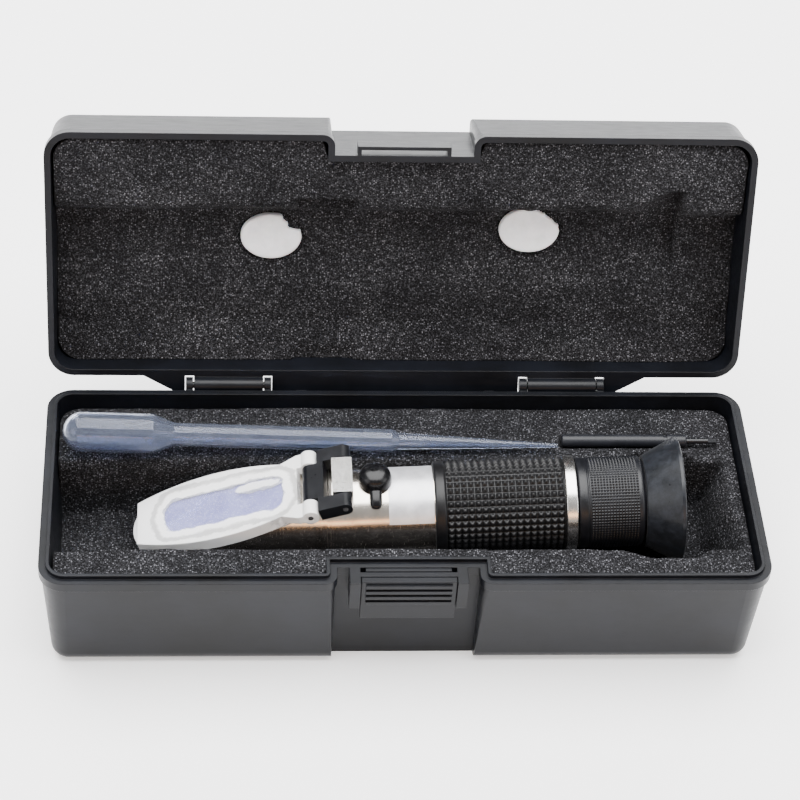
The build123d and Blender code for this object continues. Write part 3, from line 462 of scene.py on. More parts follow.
# %% [markdown]
# The daylight plate is moulded acrylic. Its inner face is frosted, but where it lies wet on the
# prism a film of liquid fills the frosting, and the plate turns clear. The photograph shows that
# as an oblong with a wavy edge and one long bubble. Both are found by distances in the plane of
# the prism's deck, which vector nodes work out.

# %% Where the plate is wet
deck_tilt = math.radians(15.5) + math.atan2(tube_axis[2], tube_axis[0])
deck_way = np.array([math.cos(deck_tilt), 0.0, math.sin(deck_tilt)])
deck_middle = tube_origin + tube_axis * (-50.4 * mm) + up_axis * (4.5 * mm)
wet_half = (13.6 * mm, 2.2 * mm, 0)
bubble_middle = (9.5 * mm, 4.2 * mm, 0)


def on_deck(tree):
    """0 where the plate is wet and 1 where it is dry, and the distance past a box that is 27.2 by
    4.4 mm: wet ends 4.0 to 4.6 mm past it, and a bubble, squeezed along X, is dry within it."""
    place = add_node(tree, "TexCoord").outputs["Object"]
    rel = add_node(tree, "VectorMath", {0: place, 1: deck_middle}, operation="SUBTRACT")
    along = add_node(tree, "VectorMath", {0: rel, 1: deck_way}, operation="DOT_PRODUCT")
    across = add_node(tree, "VectorMath", {0: rel, 1: (0, 1, 0)}, operation="DOT_PRODUCT")
    flat = add_node(tree, "CombineXYZ", {"X": along.outputs["Value"], "Y": across.outputs["Value"]})
    size = add_node(tree, "VectorMath", {0: flat}, operation="ABSOLUTE")
    past = add_node(tree, "VectorMath", {0: size, 1: wet_half}, operation="SUBTRACT")
    kept = add_node(tree, "VectorMath", {0: past, 1: (0, 0, 0)}, operation="MAXIMUM")
    reach = add_node(tree, "VectorMath", {0: kept}, operation="LENGTH").outputs["Value"]
    ripple = add_node(tree, "TexNoise", {"Vector": place, **lumps(5 * mm)})
    shift = add_node(tree, "MapRange", {"Value": ripple, **span(0.3, 0.7, -0.8 * mm, 0.8 * mm)})
    edge = add_node(tree, "Math", {0: reach, 1: shift}, operation="ADD")
    wet = add_node(tree, "MapRange", {"Value": edge, **span(4.0 * mm, 4.6 * mm, 0.0, 1.0)})
    bubble = add_node(tree, "VectorMath", {0: flat, 1: bubble_middle}, operation="SUBTRACT")
    squeezed = add_node(tree, "VectorMath", {0: bubble, 1: (0.22, 1, 0)}, operation="MULTIPLY")
    bubble_reach = add_node(tree, "VectorMath", {0: squeezed}, operation="LENGTH").outputs["Value"]
    bubble_edge = add_node(tree, "Math", {0: bubble_reach, 1: shift}, operation="ADD")
    dry = add_node(tree, "MapRange", {"Value": bubble_edge, **span(1.3 * mm, 1.7 * mm, 0.85, 0.0)})
    return add_node(tree, "Math", {0: wet, 1: dry}, operation="MAXIMUM"), edge


print("the deck leans", round(math.degrees(deck_tilt), 1), "degrees")

# %% Frosted acrylic
def daylight_acrylic(name):
    """Frosted white on its inner face, and clear where it is wet. Its border, 6.3 mm past the
    wet box, passes more light, and the rib round it, 8.3 mm past, passes less."""
    material, tree = new_material(name)
    off, reach = on_deck(tree)
    ripple = add_node(tree, "TexNoise", {"Vector": object_place(tree), **lumps(3 * mm, 3.0)})
    border = add_node(tree, "MapRange", {"Value": reach, **span(6.3 * mm, 7.2 * mm, 0.0, 1.0)})
    rib = add_node(tree, "MapRange", {"Value": reach, **span(8.3 * mm, 8.8 * mm, 0.0, 1.0)})
    frost = add_node(tree, "MapRange", {"Value": off, **span(0, 1, 0.95, 0.25)})
    inside = add_node(tree, "Math", {0: border, 1: 0.42, 2: frost}, operation="MULTIPLY_ADD")
    through = add_node(tree, "Math", {0: rib, 1: -0.35, 2: inside}, operation="MULTIPLY_ADD")
    edges = add_node(tree, "Bevel", {"Radius": 0.6 * mm}, samples=4)
    return shade(material, {
        "Base Color": add_node(tree, "ValToRGB", {"Fac": off}, ((0.0, "#eef0ff"), (1.0, "#ffffff"))),
        "Roughness": add_node(tree, "MapRange", {"Value": off, **span(0, 1, 0.06, 0.16)}),
        "IOR": 1.3, "Transmission Weight": through,
        "Normal": add_node(tree, "Bump", {"Height": ripple, "Normal": edges, **relief(0.02 * mm, 0.3)}),
    })


acrylic = daylight_acrylic("frosted_acrylic")
print("made", acrylic.name)

# %% [markdown]
# The prism's top face is ground, and wetted by the sample. It shows through the plate as a
# lavender field with tiny droplets, whose brightness is painted glints: white dots in the colour.

# %% Wetted prism
def prism_face(name):
    """Ground and wetted glass: a lavender tint with tiny droplets about 0.4 mm apart, painted white as
    glints.
    """
    material, tree = new_material(name)
    place = object_place(tree)
    droplet_and_painted_glint = specks(tree, place, 0.42 * mm, 0.5, 0.55)
    cloud = add_node(tree, "TexNoise", {"Vector": place, **lumps(5 * mm)})
    tone = add_node(tree, "ValToRGB", {"Fac": cloud}, ((0.3, "#8f8ec4"), (0.7, "#b3b2de")))
    # Painted glints: the droplets' dots are mixed towards white in the colour, while their relief in the
    # bump is real.
    lit = add_node(tree, "Mix", {"Factor": droplet_and_painted_glint, 6: tone, 7: srgb("#ffffff")}, data_type="RGBA")
    return shade(material, {
        "Base Color": lit.outputs[2], "Roughness": 0.3, "IOR": 1.52, "Transmission Weight": 0.15,
        "Normal": add_node(tree, "Bump", {"Height": droplet_and_painted_glint, **relief(0.05 * mm, 0.5)}),
    })


wet_glass = prism_face("wetted_prism_glass")
print("made", wet_glass.name)

# %% [markdown]
# The pipette is blown polyethylene. It is milky, because its crystals scatter light, and blowing
# leaves long marks up its stem.

# %% Polyethylene
def milky_polyethylene(name):
    """Marks 1.2 mm wide, drawn out along X, pick between two bluish whites and vary the
    roughness. A ripple every 3 mm, 0.05 mm deep, bends what is seen through it."""
    material, tree = new_material(name)
    along = object_place(tree, (0.15, 1, 1))
    haze = add_node(tree, "TexNoise", {"Vector": along, **lumps(1.2 * mm, 3.0)})
    ripple = add_node(tree, "TexNoise", {"Vector": object_place(tree), **lumps(3 * mm, 3.0)})
    milk = ((0.3, "#c3cde6"), (0.7, "#dfe6f6"))
    return shade(material, {
        "Base Color": add_node(tree, "ValToRGB", {"Fac": haze}, milk),
        "Roughness": add_node(tree, "MapRange", {"Value": haze, **span(0.3, 0.7, 0.08, 0.16)}),
        "IOR": 1.28, "Transmission Weight": 0.96,
        "Normal": add_node(tree, "Bump", {"Height": ripple, **relief(0.05 * mm, 0.35)}),
    })


polyethylene = milky_polyethylene("blown_polyethylene")
print("made", polyethylene.name)

# %% [markdown]
# ## The CAD nodes' finishes
# The moulded shells, the pins, the prism housing and the small black parts are shown as the
# CAD made them. Each gets its real material.

# %% Put the finishes on the CAD nodes
finishes = {
    case_plastic: ("base_shell", "lid_shell", "latch_slider"),
    satin_paint: ("hinge_pins", "screwdriver_blade", "plate_link"),
    wire_steel: ("link_pin", "plate_pin", "bimetal_strip"),
    steel: ("prism_housing", "tube_collar", "main_tube"),
    nickel: ("hinge_block", "trim_ring"),
    black_anodised: (
        "light_stop", "reticle_ring", "reticle_retainer", "focus_sleeve", "eyepiece_barrel",
        "lens_spacer", "lens_retainer", "eyepiece_clip",
    ),
    brass: ("lens_carrier", "screw_bush", "calibration_screw"),
    optical_glass: ("objective_lens", "reticle_disc", "field_lens", "eye_lens"),
    wet_glass: ("main_prism",),
    acrylic: ("daylight_plate",),
    polyethylene: ("pipette",),
    seal_rubber: ("prism_seal", "focus_o_ring"),
    driver_plastic: ("screwdriver_handle",),
    focus_plastic: ("focus_ring",),
    grip_rubber: ("rubber_grip",),
    cup_rubber: ("eyecup",),
    cap_rubber: ("screw_cap",),
}
for finish, node_names in finishes.items():
    for node_name in node_names:
        nodes[node_name].data.materials.clear()
        nodes[node_name].data.materials.append(finish)
print(sum(map(len, finishes.values())), "CAD nodes have their finish")

# %% [markdown]
# ## Surfaces from arrays
# Each new piece is a grid of points: a formula gives a whole array of places, and the faces join
# neighbours in the grid. A piece that goes all the way round joins its last row to its first,
# and an end that is open is closed with one flat face.

# %% From a grid to a mesh
def grid_faces(rows, columns, round_rows=False, round_columns=False, first=0):
    """Faces of a grid of points: each joins (i, j), (i, j+1), (i+1, j+1) and (i+1, j)."""
    i = np.arange(rows if round_rows else rows - 1)
    j = np.arange(columns if round_columns else columns - 1)
    i, j = np.meshgrid(i, j, indexing="ij")
    i2, j2 = (i + 1) % rows, (j + 1) % columns
    quads = np.stack([i * columns + j, i * columns + j2, i2 * columns + j2, i2 * columns + j], -1)
    return quads.reshape(-1, 4) + first


def make_piece(name, points, faces, body, material, replaced=(), flip=False, extra=()):
    """A mesh from points and quads (and a few longer faces), smooth, riding on a CAD body."""
    points = points.reshape(-1, 3)
    quads = faces[:, ::-1] if flip else faces
    polygons = [list(face[::-1]) if flip else list(face) for face in extra]
    mesh = bpy.data.meshes.new(name)
    mesh.from_pydata(points.tolist(), [], quads.tolist() + polygons)
    mesh.validate()
    mesh.update()
    mesh.polygons.foreach_set("use_smooth", np.ones(len(mesh.polygons), bool))
    mesh.materials.append(material)
    piece = bpy.data.objects.new(name, mesh)
    bpy.context.scene.collection.objects.link(piece)
    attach(piece, body)
    if replaced:
        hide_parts(*replaced)
    print(name, "has", len(mesh.polygons), "faces")
    return piece


print("a grid of 3 by 4 points has", len(grid_faces(3, 4)), "faces")

# %% [markdown]
# ## Foam in the case
# Both foams are one height over the case's plan, so each is a grid whose rows run across the
# case. The height is put together from smooth steps, and from smooth noise for the unevenness
# of foam that was cut with a hot wire and has been pressed for years.

# %% Smooth heights
lattice_steps = 96
lattice_shift = (40.3, 40.7)


def smooth_step(t):
    """3t² - 2t³: 0 at 0, 1 at 1, and level at both."""
    return t * t * (3 - 2 * t)


def rise(value, start, end):
    """0 before start, 1 after end, and a smooth step between them."""
    return smooth_step(np.clip((value - start) / (end - start), 0, 1))


def waves(x, y, depth, size, seed):
    """depth times random heights from -1 to 1, one to each size, joined by smooth steps."""
    lattice = np.random.default_rng(seed).uniform(-1, 1, (lattice_steps + 1, lattice_steps + 1))
    u, v = x / size + lattice_shift[0], y / size + lattice_shift[1]
    i, j = np.floor(u).astype(int) % lattice_steps, np.floor(v).astype(int) % lattice_steps
    a, b = smooth_step(u - np.floor(u)), smooth_step(v - np.floor(v))
    low = lattice[i, j] * (1 - a) + lattice[i + 1, j] * a
    high = lattice[i, j + 1] * (1 - a) + lattice[i + 1, j + 1] * a
    return depth * (low * (1 - b) + high * b)


print("halfway up a step is", rise(0.5, 0, 1))

# %% [markdown]
# The foam's outline is the inside of the case: a rectangle with rounded corners, set back where
# the latch's recess comes in from the front. Rows are closer together near the front and back,
# where the corners turn.

# %% Plan of a foam
pole_gap = 0.001
bunched, even = 0.35, 0.65
recess_depth, recess_fade = 6.0 * mm, 1.2 * mm


def plan_grid(half_x, front, back, corner, rows, columns):
    """Rows at y, 35% of it by a cosine, which bunches them at both ends. Each runs from side to
    side, cut short near a corner by the corner's arc."""
    bunch = front + (back - front) * (0.5 - 0.5 * np.cos(np.linspace(pole_gap, math.pi - pole_gap, rows)))
    y = bunched * bunch + even * np.linspace(front, back, rows)
    inside = np.minimum(y - front, back - y)
    cut = corner - np.sqrt(np.maximum(corner ** 2 - (corner - np.clip(inside, 0, corner)) ** 2, 0))
    side = (half_x - cut)[:, None]
    s = np.linspace(-1, 1, columns)[None]
    return side * s, y[:, None] + 0 * s


def recessed(x, y, front, half, depth):
    """Moves the front rows back by depth where the latch's recess is, fading out to the back row."""
    inside = 1 - rise(np.abs(x), half - recess_fade, half + recess_fade)
    return y + depth * inside * (y.max() - y) / (y.max() - front)


print("plan helpers are ready")

# %% [markdown]
# A foam's walls lean in by the draft of the moulded case and end in a flat foot. They carry on
# from the rim of the top grid in a few levels, so that the whole is one closed skin.

# %% A foam from its plan and heights
foam_draft = 0.063
wall_levels = np.linspace(0, 1, 6)[1:, None, None]


def foam_block(name, x, y, top, bottom, up, place, body, node):
    """The top grid, then walls: each level lies between the rim and the foot. The foot is the rim
    drawn in by 1 - draft x wall height / half width. up is -1 for a foam that hangs in the lid."""
    rows, columns = x.shape
    surface = np.stack([x, y, top], -1).reshape(-1, 3)
    ring = np.concatenate([
        np.arange(columns), np.arange(1, rows) * columns + columns - 1,
        (rows - 1) * columns + np.arange(columns - 2, -1, -1), np.arange(rows - 2, 0, -1) * columns,
    ])
    edge = surface[ring]
    lean = 1 - foam_draft * np.abs(bottom - edge[:, 2]) / np.abs(surface[:, :2]).max(0)[:, None]
    foot = np.stack([edge[:, 0] * lean[0], edge[:, 1] * lean[1], 0 * edge[:, 2] + bottom], -1)
    walls = edge[None] * (1 - wall_levels) + foot[None] * wall_levels
    points = np.concatenate([surface, walls.reshape(-1, 3)])
    count, first = len(ring), rows * columns
    faces = [grid_faces(rows, columns)]
    layers = [ring] + [first + k * count + np.arange(count) for k in range(len(wall_levels))]
    for above, below in zip(layers, layers[1:]):
        faces.append(np.stack([above, below, np.roll(below, -1), np.roll(above, -1)], -1))
    piece = make_piece(name, place(points), np.concatenate(faces), body, dark_foam, (node,),
                       flip=up < 0, extra=[layers[-1][::-1].tolist()])


print("walls have", len(wall_levels), "levels")

# %% [markdown]
# Both foams leave room for the instrument. Its room is a row of rings of known radius along its
# own axis, which leans in the case, so the height of its underside or its top follows from the
# place along that axis and the distance beside it.

# %% Where the instrument lies
stations = np.array([-72.4, -72.3, -22.2, -22.0, -13.6, -13.4, 8.6, 8.8, 69.0, 79.0, 82.8, 82.9]) * mm
radii = np.array([0, 12.5, 12.5, 13.4, 13.4, 12.9, 12.9, 14.3, 14.3, 18.6, 18.6, 0]) * mm
usual_radius = 13 * mm


def room_of_instrument(x, y, side):
    """Axis height + side x root of (radius² - y²), and where that root is real. side is -1 for
    the underside and 1 for the top."""
    axis_z = tube_origin[2] + x * tube_axis[2] / tube_axis[0]
    station = x * tube_axis[0] + side * usual_radius * tube_axis[2]
    radius = np.interp(station, stations, radii)
    reach = radius ** 2 - (y - tube_origin[1]) ** 2
    return axis_z + side * np.sqrt(np.maximum(reach, 0)), reach > 0


print("the room is", round((stations[-1] - stations[0]) / mm, 1), "mm long")

# %% [markdown]
# The base foam has a trough for the instrument all along, wider and shallower by the eyecup, and
# a groove for the driver. A fresh cut would be straight, so its walls sway a little.

# %% Base foam
foam_level, level_drop = 33.0 * mm, 0.35 * mm
trough_floor, cup_floor_rise, cup_floor = 13.0 * mm, 2.6 * mm, (55 * mm, 70 * mm)
trough_front, trough_back = (-21.7 * mm, -20.3 * mm), (11.0 * mm, 13.2 * mm)
trough_right = (88.5 * mm, 96.5 * mm)
cup_left, cup_right = (60 * mm, 72 * mm), (82 * mm, 88 * mm)
cup_front, cup_back = 3.4 * mm, 4 * mm
driver_y, driver_z, driver_radius = 20.4 * mm, 33.7 * mm, 2.25 * mm
driver_left, driver_right = 47.6 * mm, 94.4 * mm
base_side, base_front, base_back, base_corner = 98.7 * mm, -34.5 * mm, 34.5 * mm, 6.0 * mm
base_recess, base_foot = 23.6 * mm, 3.2 * mm


def base_foam_height(x, y):
    """The level, and down to the trough's floor between its walls, each wall a smooth step. The
    driver's groove is a half circle cut into it."""
    wave = waves(x, y, 0.35 * mm, 24 * mm, 1) + waves(x, y, 0.14 * mm, 2.6 * mm, 2)
    top = foam_level - level_drop + wave
    sway = waves(x, 0 * y, 0.5 * mm, 17 * mm, 3)
    by_cup = rise(x, *cup_left) * (1 - rise(x, *cup_right))
    front = y + sway + cup_front * by_cup
    back = y + sway - cup_back * by_cup
    in_trough = rise(front, *trough_front) * (1 - rise(back, *trough_back))
    lump = waves(0 * x, y, 2.2 * mm, 7 * mm, 5)
    in_trough = in_trough * (1 - rise(x + lump, *trough_right))
    floor = trough_floor + cup_floor_rise * rise(x, *cup_floor) + waves(x, y, 0.5 * mm, 9 * mm, 4)
    height = top + (floor - top) * in_trough
    under, there = room_of_instrument(x, y, -1)
    height = np.where(there, np.minimum(height, under), height)
    driver_reach = driver_radius ** 2 - (y - driver_y) ** 2
    groove = driver_z - np.sqrt(np.maximum(driver_reach, 0))
    by_driver = (driver_reach > 0) & (x > driver_left) & (x < driver_right)
    return np.where(by_driver, np.minimum(height, groove), height)


base_x, base_y = plan_grid(base_side, base_front, base_back, base_corner, 170, 470)
base_y = recessed(base_x, base_y, base_front, base_recess, recess_depth)
foam_block("base_foam_cut", base_x, base_y, base_foam_height(base_x, base_y), base_foot, 1,
           lambda points: points, "case_base", "base_foam")

# %% [markdown]
# The lid foam is the base foam's partner: a band along the front, a fold, a soft valley where it
# presses on the instrument, and a rise to the back. It is worked out in the closed case, where
# it fits over the instrument, and is then swung open about the lid's hinge.

# %% Lid foam line
wave_y = np.array([-38.0, -35.0, -14.6, -13.3, -10.4, 3.0, 14.0, 25.0, 38.2]) * mm
wave_drop = np.array([2.6, 1.3, 3.6, 4.9, 11.2, 12.5, 10.4, 9.8, 5.4]) * mm
band_level, fold_blur = 36.6 * mm, 0.55 * mm
link_left, link_right = (-31.5 * mm, -29.3 * mm), (-13.8 * mm, -11.5 * mm)
link_front, link_ceiling = (-17.2 * mm, -15.4 * mm), 44.4 * mm
crease_x, crease_width, crease_depth = 68 * mm, 1.6 * mm, 0.9 * mm
crease_front, crease_back = (-12 * mm, -8 * mm), (4 * mm, 14 * mm)
plug_middles = np.array([(-37.4, -1.9), (38.6, -4.5)]) * mm
dent_half, dent_depth, dent_ring, dent_blur = (9.0 * mm, 7.15 * mm), 1.3 * mm, 1.03, 0.09


def swing(points):
    """Places in the closed lid, turned about the lid's hinge by the angle that it stands open."""
    c, s = math.cos(lid_angle), math.sin(lid_angle)
    rel = points - lid_axis
    y = rel[..., 1] * c + rel[..., 2] * s
    z = -rel[..., 1] * s + rel[..., 2] * c
    return np.stack([rel[..., 0], y, z], -1) + lid_axis


def lid_foam_height(x, y):
    """The line of band, fold, valley and rise, swept along X. Pockets go up for the link, for a
    crease by the eyecup, and for a ring round each plug, where the foam was punched."""
    bend = waves(x, 0 * y, 0.9 * mm, 34 * mm, 11)
    drop = sum(np.interp(y + bend + k * fold_blur, wave_y, wave_drop) for k in (-1, 0, 1)) / 3
    soft = waves(x, y, 0.45 * mm, 21 * mm, 12) + waves(x, y, 0.16 * mm, 2.8 * mm, 13)
    height = band_level + drop + soft
    by_link = rise(x, *link_left) * (1 - rise(x, *link_right)) * rise(y, *link_front)
    height = height + by_link * np.maximum(link_ceiling - height, 0)
    crease = np.exp(-((x - crease_x) / crease_width) ** 2) * rise(y, *crease_front)
    height = height + crease_depth * crease * (1 - rise(y, *crease_back))
    for plug_x, plug_y in plug_middles:
        oval = np.hypot((x - plug_x) / dent_half[0], (y - plug_y) / dent_half[1])
        height = height + dent_depth * np.exp(-((oval - dent_ring) / dent_blur) ** 2)
    over, there = room_of_instrument(x, y, 1)
    return np.where(there, np.maximum(height, over), height)


print("the valley is", round(wave_drop.max() / mm, 1), "mm above the band's level")

# %% Lid foam
lid_side, lid_front, lid_back, lid_corner = 99.9 * mm, -35.9 * mm, 35.9 * mm, 6.5 * mm
lid_recess, lid_foot = 22.5 * mm, 54.3 * mm
lid_x, lid_y = plan_grid(lid_side, lid_front, lid_back, lid_corner, 190, 440)
lid_y = recessed(lid_x, lid_y, lid_front, lid_recess, recess_depth)
foam_block("lid_foam_cut", lid_x, lid_y, lid_foam_height(lid_x, lid_y), lid_foot, -1, swing,
           "lid", "lid_foam")

# %% [markdown]
# Two white plugs sit in punched holes of the lid foam. Each is an oval disc with a soft rim, and
# pieces of its rim are torn out on the photograph. A polar grid gives that: the radius is one
# less a smooth bite for each tear.

# %% White plugs
plug_half, plug_face, plug_dents = (8.9 * mm, 7.05 * mm), 47.65 * mm, (0.12 * mm, 2.2 * mm, 21)
plug_rows, tear_rag, tear_seed, rim_share = 120, 0.03, 5, 0.97
plug_share = np.array([0.02, 0.3, 0.6, 0.8, 0.9, 0.95, 0.985, 1.0, 1.0, 1.0, 1.0])[None]
plug_down = np.array([0.0, 0.05, 0.0, -0.15, -0.25, -0.15, 0.1, 0.5, 1.6, 3.0, 5.0])[None] * mm


def plug_points(middle, bites):
    """Middle + half width x share x size x (cos t, sin t), where size is 1 less a bell for each
    bite (angle, width, depth). Torn edges are a little ragged."""
    turn = np.linspace(0, 2 * math.pi, plug_rows, endpoint=False)[:, None]
    size = 1 - sum(depth * np.exp(-((turn - angle) / width) ** 2) for angle, width, depth in bites)
    rag = tear_rag * np.random.default_rng(tear_seed).uniform(-1, 1, turn.shape)
    ragged = 1 + rag * (size < rim_share)
    x = middle[0] + plug_half[0] * plug_share * size * ragged * np.cos(turn)
    y = middle[1] + plug_half[1] * plug_share * size * ragged * np.sin(turn)
    dents = waves(x, y, *plug_dents)
    return np.stack([x, y, plug_face + plug_down + dents * (plug_share < rim_share)], -1)


left_bites, right_bites = ((5.65, 0.28, 0.3), (5.25, 0.12, 0.14)), ((5.5, 0.5, 0.12),)
left_plug = plug_points(plug_middles[0], left_bites)
right_plug = plug_points(plug_middles[1], right_bites)
plug_columns = left_plug.shape[1]
plug_count = plug_rows * plug_columns
plug_faces = np.concatenate([
    grid_faces(plug_rows, plug_columns, True, first=first) for first in (0, plug_count)
])
ring = np.arange(plug_rows) * plug_columns
both = [ring, ring + plug_count]
caps = [one.tolist() for one in both] + [(one + plug_columns - 1)[::-1].tolist() for one in both]
plug_places = swing(np.concatenate([left_plug, right_plug]).reshape(-1, 3))
plugs = make_piece("white_plugs", plug_places, plug_faces, "lid", plug_foam, ("lid_plugs",),
                   flip=True, extra=caps)

# %% [markdown]
# ## Grip, rings and eyecup
# The instrument lies tilted in its trough. Its pieces are worked out along its own axis, and one
# function lays them in the case. The grip and the focus ring are each one grid round that axis,
# whose radius follows a pattern in the two directions.

# %% A ring whose outside follows a pattern
def lay(x, y, z):
    """Instrument places, x along its axis, y to the back, z up: origin + x a + y b + z c."""
    x, y, z = np.broadcast_arrays(x, y, z)
    return tube_origin + x[..., None] * tube_axis + y[..., None] * across_axis + z[..., None] * up_axis


def patterned_ring(name, x, radius, bore, body, material, node):
    """Outside: radius at each station x and angle t. It closes over its ends on a plain bore."""
    steps = radius.shape[0]
    t = np.linspace(0, 2 * math.pi, steps, endpoint=False)[:, None]
    wall = bore + 0 * t
    x_all = np.concatenate([[x[0]], x, [x[-1]]])[None] + 0 * t
    r_all = np.concatenate([wall, radius, wall], 1)
    points = lay(x_all, r_all * np.sin(t), r_all * np.cos(t))
    faces = grid_faces(steps, x_all.shape[1], True, True)
    return make_piece(name, points, faces, body, material, (node,))


def ridge(place, pitch):
    """A triangle wave: 0 at the grooves and 1 at the crests, one crest for each pitch."""
    return 1 - np.abs(2 * (place / pitch - np.floor(place / pitch)) - 1)


print("a ridge's crest is", ridge(0.5, 1.0))

# %% [markdown]
# The grip is a rubber sleeve moulded with small four sided pyramids. A pyramid is the lesser of
# two triangle waves, one along the sleeve and one round it, and its tip is cut flat. A smooth
# band at the front and a rounded lip at the back close the sleeve.

# %% Rubber grip
grip_start, grip_end, grip_band, grip_lip = 9.1 * mm, 46.4 * mm, 3.5 * mm, 0.5 * mm
grip_columns, grip_rows, pyramid_steps = 17, 42, 8
groove_radius, pyramid_height, pyramid_slope, pyramid_top = 12.8 * mm, 1.1 * mm, 1.1, 0.9
grip_bore = 12.55 * mm
field_start, field_end = grip_start + grip_band, grip_end - grip_lip
grip_pitch = (field_end - field_start) / grip_columns
field_x = np.linspace(field_start, field_end, grip_columns * pyramid_steps + 1)
angle_share = np.arange(grip_rows * pyramid_steps) / pyramid_steps
pyramid = np.minimum(ridge(field_x - field_start, grip_pitch)[None], ridge(angle_share, 1.0)[:, None])
field_r = groove_radius + pyramid_height * np.minimum(pyramid * pyramid_slope, pyramid_top)
band_x = grip_start + np.array([0.0, 0.08, 0.3, 0.7, 2.7, 3.1, 3.35]) * mm
band_r = np.array([13.0, 13.35, 13.6, 13.7, 13.7, 13.55, 13.0]) * mm
lip_x = field_end + np.array([0.05, 0.12, 0.35, 0.45]) * mm
lip_r = np.array([13.1, 13.5, 13.5, 13.2]) * mm
grip_x = np.concatenate([band_x, field_x, lip_x])
ones = np.ones((len(angle_share), 1))
grip_r = np.concatenate([band_r * ones, field_r, lip_r * ones], 1)
patterned_ring("rubber_grip_sleeve", grip_x, grip_r, grip_bore, "instrument", grip_rubber,
               "rubber_grip")

# %% [markdown]
# The focus ring is moulded ABS with rows of small square pits. A pit is where both triangle
# waves are high, with steep walls. A bead runs round its front end, and its thin neck at the
# back goes into the eyecup.

# %% Focus ring
pit_start, pit_pitch, pit_columns, pit_rows, pit_steps = 53.6 * mm, 0.86 * mm, 16, 92, 5
ring_radius, pit_depth, wall_share, slope_share = 13.05 * mm, 0.42 * mm, 0.3, 0.35
focus_bore = 11.3 * mm
pit_x = np.linspace(pit_start, pit_start + pit_columns * pit_pitch, pit_columns * pit_steps + 1)
pit_angle = np.arange(pit_rows * pit_steps) / pit_steps
in_pit = np.minimum(ridge(pit_x - pit_start, pit_pitch)[None], ridge(pit_angle, 1.0)[:, None])
pit_r = ring_radius - pit_depth * np.clip((in_pit - wall_share) / slope_share, 0, 1)
bead_x = np.array([50.02, 50.1, 50.35, 50.7, 52.6, 52.8, 53.0, 53.2, 53.4]) * mm
bead_r = np.array([12.5, 12.8, 13.02, 13.1, 13.1, 13.0, 12.7, 12.95, 13.05]) * mm
back_x = pit_x[-1] + np.array([0.1, 0.3, 1.1, 1.4, 1.5]) * mm
back_r = np.array([13.05, 13.05, 13.0, 12.7, 12.0]) * mm
neck_x, neck_r = np.array([69.2, 73.0]) * mm, np.array([11.8, 11.8]) * mm
ring_x = np.concatenate([bead_x, pit_x, back_x, neck_x])
ones = np.ones((len(pit_angle), 1))
ring_r = np.concatenate([bead_r * ones, pit_r, back_r * ones, neck_r * ones], 1)
patterned_ring("focus_ring_knurled", ring_x, ring_r, focus_bore, "focus", focus_plastic,
               "focus_ring")

# %% [markdown]
# The trim ring is turned metal and the eyecup moulded rubber, so both are a closed profile
# carried round the axis. The profile is given by its corners, and each corner becomes an arc,
# because a real edge is never sharp: the arc catches the light as a fine line.

# %% Turned rings
def rounded_profile(corners, steps):
    """A closed profile of (x, r, radius) corners. Each corner becomes an arc of that radius whose
    centre lies on the corner's bisector, radius / sin(half the corner's angle) away."""
    here = corners[:, :2]
    before, after = np.roll(here, 1, 0), np.roll(here, -1, 0)
    to_before = (before - here) / np.linalg.norm(before - here, axis=1)[:, None]
    to_after = (after - here) / np.linalg.norm(after - here, axis=1)[:, None]
    half = np.arccos(np.clip((to_before * to_after).sum(1), -1, 1)) / 2
    reach = corners[:, 2] / np.tan(half)
    bisector = to_before + to_after
    bisector /= np.linalg.norm(bisector, axis=1)[:, None]
    centre = here + bisector * (corners[:, 2] / np.sin(half))[:, None]
    start, end = here + to_before * reach[:, None], here + to_after * reach[:, None]
    t = np.linspace(0, 1, steps)[None, :, None]
    spoke = (start - centre)[:, None] * (1 - t) + (end - centre)[:, None] * t
    length = np.linalg.norm(spoke, axis=2, keepdims=True)
    return (centre[:, None] + spoke / length * corners[:, 2][:, None, None]).reshape(-1, 2)


def turned_piece(name, corners, body, material, node, steps, round_steps=6):
    """A ring turned from a closed profile, given anticlockwise in (x, r), in mm: its points are
    y = r sin t and z = r cos t at each angle t."""
    profile = rounded_profile(np.array(corners) * mm, round_steps)
    t = np.linspace(0, 2 * math.pi, steps, endpoint=False)[:, None]
    x, r = profile[:, 0][None], profile[:, 1][None]
    points = lay(x + 0 * t, r * np.sin(t), r * np.cos(t))
    faces = grid_faces(steps, len(profile), True, True)
    return make_piece(name, points, faces, body, material, (node,))


print("turning helpers are ready")

# %% Trim ring and eyecup
turned_piece("trim_ring_plated", (
    (46.45, 12.6, 0.05), (49.65, 12.6, 0.05), (49.65, 13.85, 0.35), (46.45, 13.85, 0.35),
), "instrument", nickel, "trim_ring", 200)
turned_piece("eyecup_moulded", (
    (69.45, 11.9, 0.1), (73.2, 11.9, 0.1), (73.2, 9.55, 0.2), (74.5, 9.55, 0.3), (74.5, 13.0, 0.8),
    (79.0, 16.7, 0.3), (79.95, 16.7, 0.3), (79.95, 17.95, 0.4), (78.9, 17.95, 0.5), (69.45, 12.95, 0.5),
), "focus", cup_rubber, "eyecup", 220)

# %% [markdown]
# ## Cap of the calibration screw
# A soft rubber plug closes the hole over the screw. Its head is domed, like a mushroom, and a
# short tail that one pulls it out by lies round the tube. The head is turned about the screw's
# axis. The tail is a tube whose round section follows the big tube and closes to a rounded tip.

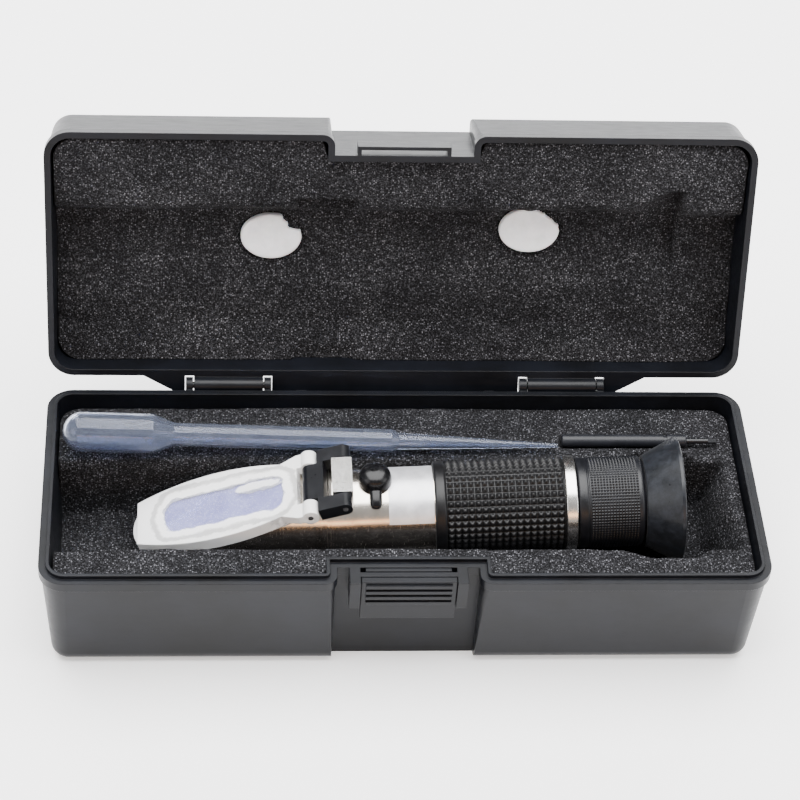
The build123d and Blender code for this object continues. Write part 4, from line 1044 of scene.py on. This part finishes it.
# %% Head of the cap
cap_station, head_steps = -7.6 * mm, 72
dome_r = np.array([0.02, 1.6, 2.8, 3.7, 4.25, 4.55, 4.72, 4.78, 4.75, 4.7]) * mm
dome_z = np.array([17.3, 17.2, 16.9, 16.4, 15.8, 15.1, 14.2, 12.9, 11.6, 10.6]) * mm
head_turn = np.linspace(0, 2 * math.pi, head_steps, endpoint=False)[:, None]
head = lay(cap_station + dome_r * np.cos(head_turn), dome_r * np.sin(head_turn), dome_z + 0 * head_turn)
head_faces = grid_faces(head_steps, len(dome_r), True, False)
ring = np.arange(head_steps) * len(dome_r)
head_caps = [ring[::-1].tolist(), (ring + len(dome_r) - 1).tolist()]
print("the cap's head is", round(2 * dome_r.max() / mm, 2), "mm wide")

# %% Tail of the cap
tail_rows, tail_steps, tail_half_width, tail_half_height = 14, 24, 1.75 * mm, 0.85 * mm
tail_lie, tail_start, tail_end, tip_share = 13.75 * mm, 18, 40.5, 0.97
tail_turn = np.radians(np.linspace(tail_start, tail_end, tail_rows))[:, None]
section = np.linspace(0, 2 * math.pi, tail_steps, endpoint=False)[None]
taper = np.clip(1 - np.linspace(0, tip_share, tail_rows) ** 6, 0, 1)
tail_half = tail_half_width * np.sqrt(taper)[:, None]
tail_radius = tail_lie + tail_half_height * np.sin(section) * (tail_half / tail_half_width)
tail = lay(cap_station + tail_half * np.cos(section) + 0 * tail_turn,
           -tail_radius * np.sin(tail_turn), tail_radius * np.cos(tail_turn))
tail_first = head_steps * len(dome_r)
tail_faces = grid_faces(tail_rows, tail_steps, False, True, tail_first)
root = tail_first + np.arange(tail_steps)
tail_caps = [(root + (tail_rows - 1) * tail_steps).tolist(), root[::-1].tolist()]
make_piece("screw_cap_moulded", np.concatenate([head.reshape(-1, 3), tail.reshape(-1, 3)]),
           np.concatenate([head_faces, tail_faces]), "cap", cap_rubber, ("screw_cap",),
           extra=head_caps + tail_caps)

# %% [markdown]
# ## Label
# The tube's label is a bare patch of silver foil, 0.07 mm thick, that follows the tube. A foil
# that is rubbed down by hand keeps fine creases, which break its shine.

# %% Silver foil
def foil(name):
    """Silver foil film: bright and smooth, with fine creases about 4 mm apart."""
    material, tree = new_material(name)
    crease = add_node(tree, "TexNoise", {"Vector": object_place(tree), **lumps(4 * mm, 5.0)})
    silver = ((0.3, "#c4c4c8"), (0.7, "#dedee2"))
    return shade(material, {
        "Base Color": add_node(tree, "ValToRGB", {"Fac": crease}, silver), "Metallic": 0.55,
        "Roughness": add_node(tree, "MapRange", {"Value": crease, **span(0.3, 0.7, 0.3, 0.42)}),
        "Normal": add_node(tree, "Bump", {"Height": crease, **relief(0.05 * mm, 0.5)}),
    })


label_foil = foil("silver_label_foil")
print("made", label_foil.name)

# %% Bare label
label_rows, label_columns, label_under, label_over = 60, 12, 12.49 * mm, 12.56 * mm
label_x = np.linspace(-4.0, 8.9, label_columns)[None] * mm
label_turn = np.radians(np.linspace(-62, 40, label_rows))[:, None]
label_points = np.stack([
    lay(label_x + 0 * label_turn, radius * np.sin(label_turn), radius * np.cos(label_turn))
    for radius in (label_under, label_over)
])
label_faces = np.concatenate([
    grid_faces(label_rows, label_columns)[:, ::-1],
    grid_faces(label_rows, label_columns, first=label_rows * label_columns),
])
make_piece("bare_label", label_points, label_faces, "instrument", label_foil)
